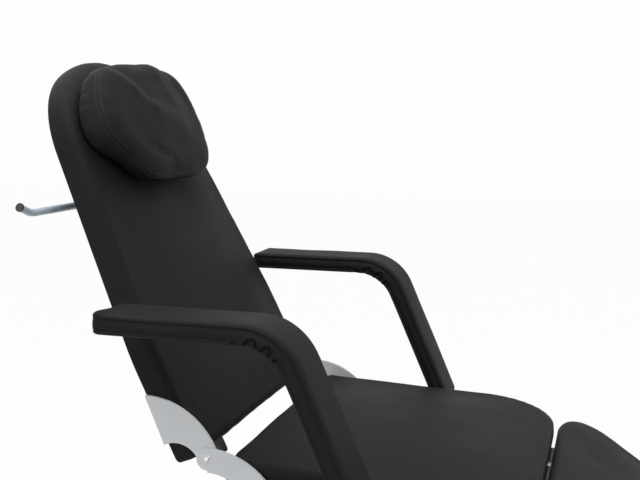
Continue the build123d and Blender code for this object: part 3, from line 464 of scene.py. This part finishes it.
def staple_row(name, local_frame, ring, height, body):
    """Staples round the underside of a board: flat wires whose ends dive into the lining."""
    place = even_ring(ring, int(np.linalg.norm(np.roll(ring, -1, 0) - ring, axis=1).sum() / STAPLE_PITCH))
    step = np.roll(place, -1, 0) - np.roll(place, 1, 0)
    step /= np.linalg.norm(step, axis=1, keepdims=True)
    flat = np.column_stack((place, np.full(len(place), height)))
    along = np.column_stack((step, np.zeros(len(step))))
    down = np.tile((0.0, 0.0, -1.0), (len(place), 1))
    x, z = np.vstack((STAPLE_PROFILE * (-1, 1), STAPLE_PROFILE[::-1])).T
    angle = np.linspace(0, 2 * pi, ROUND_POINTS, endpoint=False)
    wide, thick = STAPLE_WIRE
    wire = np.stack(np.broadcast_arrays(x[:, None] + 0 * angle, wide * np.cos(angle)[None, :],
                                        z[:, None] + thick * np.sin(angle)), axis=2)
    matrix = local_frame[1]
    repeated(name, wire, to_row(local_frame, flat), along @ matrix, down @ matrix, body, "zinc_steel", ZINC)


# Backrest cushion
BACK_REAR = -60 * MM
BACK_EDGE = 46 * MM
BACK_CROWN = 11 * MM
BACK_LOW = 7 * MM
BACK_TOP = 742 * MM
BACK_BOARD = 9 * MM
BACK_POINTS = 560
# the tapered side passes through this point, and the curves of the head and the lower corners follow
TAPER = radians(8.3)
TAPER_POINT = (238 * MM, 519 * MM)
HEAD_CORNER = 190 * MM
HEAD_RISE = 12.3 * MM
FOOT_CORNER = 12 * MM
SIDE_BEND = 420 * MM
HEAD_POINTS = 60
# how far the staples stand in from the cushion's outline
STAPLE_INSET = 34 * MM
STAPLE_POINTS = 400


def back_outline(inset, count):
    """The backrest's outline: parallel sides, a slow bend into the taper, corner arcs and an arc over the top."""
    corner = HEAD_CORNER
    corner_s = BACK_TOP - HEAD_RISE - corner
    reach = TAPER_POINT[0] * cos(TAPER) + TAPER_POINT[1] * sin(TAPER) - corner
    corner_x = (reach - corner_s * sin(TAPER)) / cos(TAPER)
    between = (corner_x ** 2 + HEAD_RISE ** 2) / (2 * HEAD_RISE)
    top_centre = corner_s + HEAD_RISE - between
    join = atan2(corner_s - top_centre, corner_x)
    side = np.linspace(TAPER, join, HEAD_POINTS)
    over = np.linspace(join, pi / 2, HEAD_POINTS)[1:]
    top = corner + between
    arcs = np.vstack((np.column_stack((corner_x + corner * np.cos(side), corner_s + corner * np.sin(side))),
                      np.column_stack((top * np.cos(over), top_centre + top * np.sin(over)))))
    bend = np.array((HALF_WIDTH, arcs[0, 1] - (HALF_WIDTH - arcs[0, 0]) / tan(TAPER)))
    foot = np.array((HALF_WIDTH, BACK_LOW))
    right = np.vstack((corner_arc(np.array((0, BACK_LOW)), foot, bend, FOOT_CORNER),
                       corner_arc(foot, bend, arcs[0], SIDE_BEND), arcs))
    left = right[-2::-1] * (-1, 1)
    ring = even_ring(np.vstack((right, left)), count)
    return ring - outline_normals(ring) * inset


def back_cushion():
    """The backrest: pad_grid over its outline, with slack and gathers at the two lower corners."""
    ring = back_outline(0, BACK_POINTS)
    head = smooth(560 * MM, 690 * MM, ring[:, 1])
    edge_in, edge_down = (17 + 22 * head) * MM, (13 + 20 * head) * MM
    grid = pad_grid(ring, BACK_EDGE, edge_in, edge_down, BACK_CROWN, power=3.2, bulge=0.3 * MM, foot=1.4 * MM)
    grid[..., 2] += BACK_REAR
    x, y, z = np.moveaxis(grid, 2, 0)
    height = z - BACK_REAR
    from_side = HALF_WIDTH - np.abs(x)
    slack = 0.7 * MM * ripple(x, y, 3, 300 * MM) * smooth(10 * MM, 32 * MM, height)
    # the gathers
    gather_pitch = 21 * MM
    corner = bell(from_side, 0, 48 * MM) * bell(y, BACK_LOW, 60 * MM)
    wave = np.sin(2 * pi * (y + 0.7 * from_side + 0.25 * z) / gather_pitch)
    slack += 1.4 * MM * wave * corner * smooth(2 * MM, 22 * MM, height)
    # the sides are a little uneven
    slack += 0.5 * MM * ripple(x, y + 0.6 * z, 19, 46 * MM) * bell(height, 30 * MM, 18 * MM)
    grid = grid + grid_normals(grid) * slack[..., None]
    cover(grid, BACK, "back_cushion", "backrest")
    ring = back_outline(STAPLE_INSET, STAPLE_POINTS)
    staple_row("back_board_staples", BACK, ring, BACK_REAR - BACK_BOARD, "backrest")


# The cloth simulation: size of its cells, air pressure, bending stiffness and number of steps
CLOTH_CELL = 5 * MM
CLOTH_PRESSURE = 4.0
CLOTH_BENDING = 0.3
CLOTH_STEPS = 20


def finished_mesh(piece):
    """A new mesh of an object with its modifiers worked out."""
    return bpy.data.meshes.new_from_object(piece.evaluated_get(bpy.context.evaluated_depsgraph_get()))


def corners_of(mesh):
    """A mesh's points as an array."""
    places = np.empty(len(mesh.vertices) * 3, np.float32)
    mesh.vertices.foreach_get("co", places)
    return places.reshape(-1, 3).astype(float)


def blown_up(points, faces, up, limit):
    """A cover under air pressure in a cloth simulation without gravity, and the faces of its even cells.

    A point that moved by d goes d / sqrt(1 + (d / limit)^2) of the way, and one whose normal points down, at the
    underside, stays where it was.
    """
    scene = bpy.context.scene
    mesh = bpy.data.meshes.new("slack cover")
    mesh.from_pydata(points.tolist(), [], faces)
    slack = bpy.data.objects.new("slack cover", mesh)
    scene.collection.objects.link(slack)
    cells = slack.modifiers.new("even cells", "REMESH")
    cells.mode = "VOXEL"
    cells.voxel_size = CLOTH_CELL
    bag = bpy.data.objects.new("blown cover", finished_mesh(slack))
    scene.collection.objects.link(bag)
    before = corners_of(bag.data)
    normal = np.array([vertex.normal for vertex in bag.data.vertices])
    cloth = bag.modifiers.new("air", "CLOTH")
    cloth.settings.use_pressure = True
    cloth.settings.uniform_pressure_force = CLOTH_PRESSURE
    cloth.settings.effector_weights.gravity = 0
    cloth.settings.bending_stiffness = CLOTH_BENDING
    cloth.collision_settings.use_collision = False
    cloth.point_cache.frame_start, cloth.point_cache.frame_end = 1, CLOTH_STEPS
    for step in range(1, CLOTH_STEPS + 1):
        scene.frame_set(step)
    after = finished_mesh(bag)
    move = corners_of(after) - before
    length = np.linalg.norm(move, axis=1, keepdims=True)
    move *= smooth(-0.9, -0.4, normal @ up)[:, None] / np.sqrt(1 + (length / limit) ** 2)
    even = [list(face.vertices) for face in after.polygons]
    for thing in (slack, bag):
        bpy.data.objects.remove(thing)
    scene.frame_set(1)
    return before + move, even


def cover(grid, local_frame, node, body, limit=None):
    """A closed cover from rings in a local frame, which stands for a cushion of the CAD model."""
    points = to_row(local_frame, np.vstack((grid.reshape(-1, 3), np.array(pad_poles(grid)))))
    faces = closed_grid(*grid.shape[:2])
    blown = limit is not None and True
    if blown:
        points, faces = blown_up(points, faces, local_frame[1][2], limit)
    piece = mesh_piece(f"{node}_cover", points, faces, body, "upholstery", VINYL)
    if blown:
        finer = piece.modifiers.new("finer", "SUBSURF")
        finer.levels = finer.render_levels = 1
    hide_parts(node)
    return piece


# Seat cushion
SEAT_REAR, SEAT_FRONT, SEAT_LOW = 24 * MM, 519 * MM, -53 * MM
SEAT_EDGE = 48 * MM
SEAT_BOARD = 10 * MM
SEAT_REAR_CORNER, SEAT_FRONT_CORNER = 14 * MM, 150 * MM
SEAT_STAPLE_CORNER = 124 * MM
SLAB_POINTS = 480


def slab_ring(start, end, rear_radius, front_radius, inset=0):
    """A rectangle's outline with its own rear and front corner radii; y runs to the front."""
    wide = HALF_WIDTH - inset
    corners = [(wide, start + inset), (wide, end - inset), (-wide, end - inset), (-wide, start + inset)]
    return rounded_outline(corners, [rear_radius, front_radius, front_radius, rear_radius], SLAB_POINTS)


def seat_cushion():
    """The seat: a slab whose top falls to the front, crowned, tight at its rear edge and soft at the others."""
    ring = slab_ring(SEAT_REAR, SEAT_FRONT, SEAT_REAR_CORNER, SEAT_FRONT_CORNER)
    off_rear = smooth(SEAT_REAR + 4 * MM, SEAT_REAR + 70 * MM, ring[:, 1])
    soft = np.maximum(off_rear, smooth(225 * MM, 262 * MM, np.abs(ring[:, 0])))
    edge_in, edge_down = 9 * MM + 13 * MM * soft, 8 * MM + 9 * MM * soft
    grid = pad_grid(ring, SEAT_EDGE, edge_in, edge_down, 13 * MM, power=2.8, bulge=0.3 * MM)
    x, y, z = np.moveaxis(grid, 2, 0)
    lift = smooth(8 * MM, 34 * MM, z)
    slack = (0.8 * MM * ripple(x, y, 11, 280 * MM) + 0.15 * MM * ripple(x, y, 17, 60 * MM)) * lift
    # the front corners are gathered
    corner_inset, gather_pitch = 60 * MM, 30 * MM
    corner = bell(np.hypot(HALF_WIDTH - corner_inset - np.abs(x), SEAT_FRONT - corner_inset - y), 0, 70 * MM)
    slack += 0.8 * MM * np.sin(2 * pi * (np.abs(x) - y) / gather_pitch) * corner * bell(z, 30 * MM, 16 * MM)
    grid = grid + grid_normals(grid) * slack[..., None]
    grid[..., 2] -= (grid[..., 1] - SEAT_REAR) * tan(SEAT_SLOPE) * np.clip(z / SEAT_EDGE, 0, 1)
    grid[..., 2] += SEAT_LOW
    cover(grid, SEAT, "seat_cushion", "seat_frame")
    ring = slab_ring(SEAT_REAR, SEAT_FRONT, SEAT_REAR_CORNER, SEAT_STAPLE_CORNER, inset=STAPLE_INSET)
    staple_row("seat_board_staples", SEAT, ring, SEAT_LOW - SEAT_BOARD, "seat_frame")


# Leg rest cushion
LEG_START, LEG_END, LEG_LOW = -2.6 * MM, 579 * MM, 7.2 * MM
LEG_EDGE = 31 * MM
LEG_BOARD = 9 * MM
LEG_CORNER, LEG_STAPLE_CORNER = 105 * MM, 75 * MM


def leg_cushion():
    """The leg rest: a slab with rounded corners, crowned, with soft edges."""
    ring = slab_ring(LEG_START, LEG_END, LEG_CORNER, LEG_CORNER)
    grid = pad_grid(ring, LEG_EDGE, 36 * MM, 24 * MM, 14 * MM, power=2.8, bulge=0.2 * MM, foot=0.8 * MM)
    x, y, z = np.moveaxis(grid, 2, 0)
    lift = smooth(6 * MM, 26 * MM, z)
    slack = (0.8 * MM * ripple(x, y, 23, 280 * MM) + 0.12 * MM * ripple(x, y, 29, 60 * MM)) * lift
    grid = grid + grid_normals(grid) * slack[..., None]
    grid[..., 2] += LEG_LOW
    cover(grid, LEG, "leg_cushion", "leg_rest")
    ring = slab_ring(LEG_START, LEG_END, LEG_STAPLE_CORNER, LEG_STAPLE_CORNER, inset=STAPLE_INSET)
    staple_row("leg_board_staples", LEG, ring, LEG_LOW - LEG_BOARD, "leg_rest")


# Head pillow
PILLOW_MIDDLE = 588 * MM
PILLOW_LOW = -0.8 * MM
PILLOW_SEAM = 30 * MM
PILLOW_THICK = 52 * MM
PILLOW_POINTS = 480
CLOTH_LIMIT = 2.5 * MM
# the seam's points about the pillow's middle, in mm
PILLOW_RING = ((0, -124), (66, -124), (118, -113), (147, -88), (161, -56), (168, -20), (171, 22), (161, 67),
               (138, 98), (98, 115), (50, 121), (0, 119), (-62, 116), (-122, 107), (-158, 92), (-183, 65), (-203, 35),
               (-214, 5), (-214, -24), (-202, -46), (-178, -72), (-148, -102), (-116, -119), (-60, -124))
# its folds, in mm: height, start, end and width, with a height below zero for a valley
PILLOW_FOLDS = ((2.6, (-122, 92), (-84, 50), 17), (3.0, (-84, 50), (-46, 12), 16), (1.8, (-46, 12), (50, -22), 20),
                (-2.6, (-104, 96), (-58, 36), 17), (-2.0, (-50, 29), (16, 24), 18), (2.4, (37, 92), (44, 38), 22),
                (-2.6, (-92, -70), (-36, -88), 10), (1.8, (-92, -56), (-36, -72), 12),
                (-2.2, (96, 96), (110, 30), 18), (-1.8, (-200, -30), (-120, -20), 16),
                (1.6, (90, -60), (160, -10), 22))


def head_pillow():
    """The pillow: rings over its seam line, drawn in below it, with soft diagonal folds across the front.

    The band stands nearly upright below the seam, the front rolls in along a quarter ellipse above it and rises
    by a product crown. Ridges and valleys are Gaussians about short lines.
    """
    ring = closed_curve(np.array(PILLOW_RING) * MM, PILLOW_POINTS)
    foot = (11 + 17 * smooth(-20 * MM, -90 * MM, ring[:, 1])) * MM
    edge_down = PILLOW_THICK - PILLOW_SEAM
    grid = pad_grid(ring, PILLOW_THICK, 46 * MM, edge_down, 9 * MM, power=2.4, bulge=2 * MM, foot=foot)
    x, y, z = np.moveaxis(grid, 2, 0)
    front = smooth(PILLOW_SEAM - 1 * MM, PILLOW_SEAM + 14 * MM, z)
    folds = sum(height * fold(x / MM, y / MM, start, end, width) for height, start, end, width in PILLOW_FOLDS)
    slack = (folds * MM + 1.4 * MM * ripple(x, y, 5, 150 * MM)) * front
    # the band below the seam is gathered, and the seam line itself is drawn in
    angle = np.arctan2(y, x)
    band = bell(z, 0.55 * PILLOW_SEAM, 9 * MM)
    gathers = 52
    slack += 0.9 * MM * np.sin(gathers * angle + 2.5 * np.sin(7 * angle)) * band
    slack -= 1.5 * MM * bell(z, PILLOW_SEAM, 2.2 * MM)
    grid = grid + grid_normals(grid) * slack[..., None]
    grid[..., 2] *= 0.94 + 0.06 * smooth(-124 * MM, -30 * MM, y)
    # its near side hangs over the rounded edge of the backrest
    grid[..., 2] -= 9 * MM * smooth(150 * MM, 205 * MM, -x) * smooth(40 * MM, 10 * MM, z)
    normals = grid_normals(grid)
    grid[..., 1] += PILLOW_MIDDLE
    grid[..., 2] += PILLOW_LOW
    piece = cover(grid, BACK, "head_pillow", "head_pillow", limit=CLOTH_LIMIT)
    surface = BVHTree.FromPolygons([vertex.co for vertex in piece.data.vertices],
                                   [list(face.vertices) for face in piece.data.polygons])
    seam = int(np.argmin(np.abs(z[:, 0] - PILLOW_SEAM - 4 * MM)))
    for number, row in enumerate((seam, seam + 3)):
        line = np.vstack((grid[row], grid[row, :1]))
        up = np.vstack((normals[row], normals[row, :1])) @ BACK[1]
        on_cover = np.array([surface.find_nearest(place)[0] for place in to_row(BACK, line).tolist()])
        stitch_row(f"pillow_stitches_{number + 1}", on_cover, up, "head_pillow")


# Armrests
ARM_MIDDLE = 341 * MM
ARM_HALF_WIDTH = 48.5 * MM
ARM_HALF_THICK = 15 * MM
ARM_SWELL = 1.2 * MM
ARM_TOP = 247 * MM
ARM_REAR = -148 * MM
ARM_CORNER = 163.2 * MM
ARM_LOW = -54 * MM
ARM_BEND = 85 * MM
ARM_END = 10 * MM
END_POINTS, PATH_POINTS, SECTION_POINTS = 14, 340, 240
SECTION_RADII = (6 * MM, 7 * MM, 7 * MM, 6 * MM)
STITCH_LINE = 43.6 * MM
# how many rings at each end of the arm have no stitches
STITCH_START = 16


def arm_path():
    """The arm's centre line in its own plane: level, then an arc, then straight down at the rake."""
    corner = np.array((ARM_CORNER - ARM_HALF_THICK * cos(ARM_RAKE) / (1 + sin(ARM_RAKE)), ARM_TOP - ARM_HALF_THICK))
    down = np.array((sin(ARM_RAKE), -cos(ARM_RAKE)))
    turn = pi / 2 - ARM_RAKE
    tangent = ARM_BEND * tan(turn / 2)
    straight = corner[0] - tangent - ARM_REAR
    arc = ARM_BEND * turn
    front = (corner[1] - ARM_LOW) / cos(ARM_RAKE) - tangent
    ends = ARM_END * (1 - np.cos(np.linspace(0, pi / 2, END_POINTS)))
    middle = np.linspace(ends[-1], straight + arc + front - ends[-1], PATH_POINTS)
    s = np.concatenate((ends[:-1], middle, straight + arc + front - ends[-2::-1]))
    angle = np.clip((s - straight) / ARM_BEND, 0, turn)
    past = np.maximum(s - straight - arc, 0)
    x = ARM_REAR + np.minimum(s, straight) + ARM_BEND * np.sin(angle) + past * down[0]
    z = corner[1] - ARM_BEND * (1 - np.cos(angle)) + past * down[1]
    return s, np.column_stack((x, z)), angle, straight + arc / 2


def arm_section():
    """The pad's section, out from its middle: flat top and bottom, edges with a small round."""
    thick = ARM_HALF_THICK + ARM_SWELL
    corners = np.array(((1, -1), (1, 1), (-1, 1), (-1, -1))) * (ARM_HALF_WIDTH, thick)
    return rounded_outline(corners, SECTION_RADII, SECTION_POINTS)


# lines of the folds at the inner elbow: along the arm from the elbow and up its flank, in mm
ELBOW_FOLDS = (((-43, -13), (-35, -5)), ((-35, -5), (-27, -2)), ((-27, -2), (-20, -9)),
               ((-13, -15), (-7, -6)), ((-7, -6), (0, -1)), ((0, -1), (7, -7)), ((7, -7), (5, -14)),
               ((-62, -12), (-49, -14)), ((17, -15), (21, -7)))


def arm_pad(side):
    """An arm pad: the section carried along the bent path.

    Its ends draw in along a quarter ellipse. A welt stands along the upper and lower edges of each side with a
    seam beside it, the band between them is slack, and the inner elbow is gathered in deep puckers.
    """
    s, path, angle, elbow = arm_path()
    across, up = arm_section().T
    near_end = np.minimum(s, s[-1] - s) / ARM_END
    ends = 1 - np.sqrt(np.clip(1 - (1 - np.clip(near_end, 0, 1)) ** 2, 0, 1))
    width = np.outer(1 - 5 * MM * ends / ARM_HALF_WIDTH, across)
    height = np.outer(1 - 4.5 * MM * ends / ARM_HALF_THICK, up)
    flank = smooth(39 * MM, 46 * MM, np.abs(width))
    out = np.sign(width)
    along = s[:, None]
    # welts and seams along the flank's upper and lower edges, and the slack band between them
    push = 1.1 * MM * bell(height, 12.2 * MM, 2.2 * MM) - 1.5 * MM * bell(height, 8.2 * MM, 1.4 * MM)
    push += 1.2 * MM * bell(height, -12.4 * MM, 2.0 * MM) - 1.2 * MM * bell(height, -9.0 * MM, 1.4 * MM)
    push += 1.6 * MM * bell(height, -0.5 * MM, 6 * MM)
    push += 0.8 * MM * ripple(along, height * 3, 7, 80 * MM) * bell(height, -1 * MM, 7 * MM)
    width += out * flank * (push - 0.8 * MM)
    # the underside fills the inner elbow
    under = smooth(-3 * MM, -13 * MM, height)
    sag = 2.8 * MM * bell(along, elbow, 42 * MM)
    # two deep folds shaped like an A run up each flank from the inner elbow, with rims beside them
    place, level = (along - elbow) / MM, height / MM
    deep = np.max([fold(place, level, start, end, 2.5) for start, end in ELBOW_FOLDS], axis=0)
    rims = np.max([fold(place, level, start, end, 7.0) for start, end in ELBOW_FOLDS], axis=0)
    pinch = (3.0 * rims - 7.0 * deep) * MM
    width += out * flank * pinch * smooth(9 * MM, 3 * MM, height)
    height -= under * (sag - 0.5 * pinch)
    # the cover's corners stand up a little at the rear end, and hardly at all on the left arm
    lip = (1.0 if side < 0 else 0.2) * bell(along, 5 * MM, 13 * MM) * smooth(4 * MM, 14 * MM, height)
    height += lip * (1.2 * MM + 3.8 * MM * smooth(-10 * MM, 47 * MM, width))
    # the top swells a little along its middle and is not quite even
    upper = smooth(9 * MM, 15 * MM, height)
    swell = 0.8 * MM * (1 - (width / ARM_HALF_WIDTH) ** 2)
    height += upper * (swell + 0.5 * MM * ripple(along, width, 13, 130 * MM))
    height -= upper * 0.9 * MM * bell(np.abs(width), 41 * MM, 1.6 * MM)
    normal = np.column_stack((np.sin(angle), np.cos(angle)))
    x = path[:, :1] + normal[:, :1] * height
    z = path[:, 1:] + normal[:, 1:] * height
    grid = np.stack((HINGE[0] + x, side * (ARM_MIDDLE + width), HINGE[2] + z), axis=2)
    if side > 0:
        grid = grid[:, ::-1]
    name = "right" if side < 0 else "left"
    piece = closed_piece(f"{name}_arm_cover", grid, pad_poles(grid), f"{name}_armrest",
                         "upholstery", VINYL)
    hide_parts(f"{name}_arm_pad")
    normals = grid_normals(grid)
    # a row of stitches beside the seam on top, along the outer and the inner edge
    stitched = slice(STITCH_START, -STITCH_START)
    for edge, where in (("outer", STITCH_LINE), ("inner", -STITCH_LINE)):
        column = int(np.argmin(np.abs(across - where) + np.where(up > 10 * MM, 0, 1)))
        if side > 0:
            column = grid.shape[1] - 1 - column
        line, up_line = grid[stitched, column], normals[stitched, column]
        stitch_row(f"{name}_arm_stitches_{edge}", line, up_line, f"{name}_armrest")


back_cushion()
seat_cushion()
leg_cushion()
head_pillow()
for side in (-1, 1):
    arm_pad(side)


# Stage: floor, light and camera
FLOOR_REACH = 12.0
FLOOR_TONE = (0.68, 0.68, 0.68)
SHADOW_RADIUS = 0.55
WHITE_NEAR, WHITE_FAR = 0.55, 0.97
WORLD_LIGHT = 0.24
SEEN_WHITE = (0.985, 0.985, 0.985)
LAMP_TARGET = (0, 0, 0.7)
# name, place, size and power of each lamp
LAMPS = (("key", (0.6, -2.0, 3.2), 1.8, 22), ("fill", (5.2, -0.8, 0.9), 1.7, 26),
         ("side", (-1.4, -2.6, 1.5), 1.4, 16), ("top", (-0.5, -0.1, 3.2), 2.6, 54),
         ("rear", (-2.6, 1.2, 2.6), 1.6, 4))


def seen_rays(tree):
    """1 for camera, glossy and transmission rays, which see a white surround, and 0 for the others."""
    path = shader_node(tree, "LightPath").outputs
    first, both = (shader_node(tree, "Math", operation="MAXIMUM") for _ in range(2))
    link(tree, (path["Is Camera Ray"], first.inputs[0]), (path["Is Glossy Ray"], first.inputs[1]),
         (first.outputs["Value"], both.inputs[0]), (path["Is Transmission Ray"], both.inputs[1]))
    return both.outputs["Value"]


def stage():
    """A pale floor, whiter further out than under the chair, a white surround, soft lamps and the camera."""
    mesh = bpy.data.meshes.new("floor")
    corners = [(-1, -1, 0), (1, -1, 0), (1, 1, 0), (-1, 1, 0)]
    mesh.from_pydata((np.array(corners) * FLOOR_REACH).tolist(), [], [(0, 1, 2, 3)])
    floor = bpy.data.objects.new("floor", mesh)
    bpy.context.scene.collection.objects.link(floor)
    pale = bpy.data.materials.new("pale floor")
    pale.use_nodes = True
    tree = pale.node_tree
    matt = tree.nodes["Principled BSDF"]
    matt.inputs["Base Color"].default_value = (*FLOOR_TONE, 1)
    matt.inputs["Roughness"].default_value = 0.9
    bright = shader_node(tree, "Emission")
    seen_floor = shader_node(tree, "MixShader")
    share = shader_node(tree, "Math", operation="MULTIPLY")
    place = shader_node(tree, "TexCoord")
    away = shader_node(tree, "VectorMath", operation="LENGTH")
    whiter = shader_node(tree, "MapRange", {"From Min": SHADOW_RADIUS, "From Max": 2 * SHADOW_RADIUS,
                                            "To Min": WHITE_NEAR, "To Max": WHITE_FAR},
                         interpolation_type="SMOOTHSTEP")
    link(tree, (place.outputs["Object"], away.inputs[0]), (away.outputs["Value"], whiter.inputs["Value"]),
         (seen_rays(tree), share.inputs[0]), (whiter.outputs["Result"], share.inputs[1]),
         (share.outputs["Value"], seen_floor.inputs["Fac"]), (matt.outputs["BSDF"], seen_floor.inputs[1]),
         (bright.outputs["Emission"], seen_floor.inputs[2]),
         (seen_floor.outputs["Shader"], tree.nodes["Material Output"].inputs["Surface"]))
    mesh.materials.append(pale)

    world = bpy.data.worlds.new("studio")
    bpy.context.scene.world = world
    world.use_nodes = True
    tree = world.node_tree
    lit = tree.nodes["Background"]
    lit.inputs["Color"].default_value = (1, 1, 1, 1)
    lit.inputs["Strength"].default_value = WORLD_LIGHT
    seen = shader_node(tree, "Background", {"Color": (*SEEN_WHITE, 1)})
    mix = shader_node(tree, "MixShader")
    link(tree, (seen_rays(tree), mix.inputs["Fac"]), (lit.outputs["Background"], mix.inputs[1]),
         (seen.outputs["Background"], mix.inputs[2]),
         (mix.outputs["Shader"], tree.nodes["World Output"].inputs["Surface"]))

    for name, place, size, power in LAMPS:
        lamp = bpy.data.lights.new(name, "AREA")
        lamp.size = size
        lamp.energy = power
        holder = bpy.data.objects.new(name, lamp)
        bpy.context.scene.collection.objects.link(holder)
        holder.location = place
        aim = np.array(LAMP_TARGET) - np.array(place)
        holder.rotation_euler = Vector(aim).to_track_quat("-Z", "Y").to_euler()

    view = bpy.data.cameras.new("camera")
    view.lens = CAMERA_LENS
    view.sensor_width = 36
    camera = bpy.data.objects.new("camera", view)
    bpy.context.scene.collection.objects.link(camera)
    camera.location = CAMERA_PLACE
    camera.rotation_euler = (pi / 2 - CAMERA_TILT, 0, CAMERA_TURN)
    bpy.context.scene.camera = camera
    bpy.context.scene.view_settings.view_transform = "Standard"


stage()
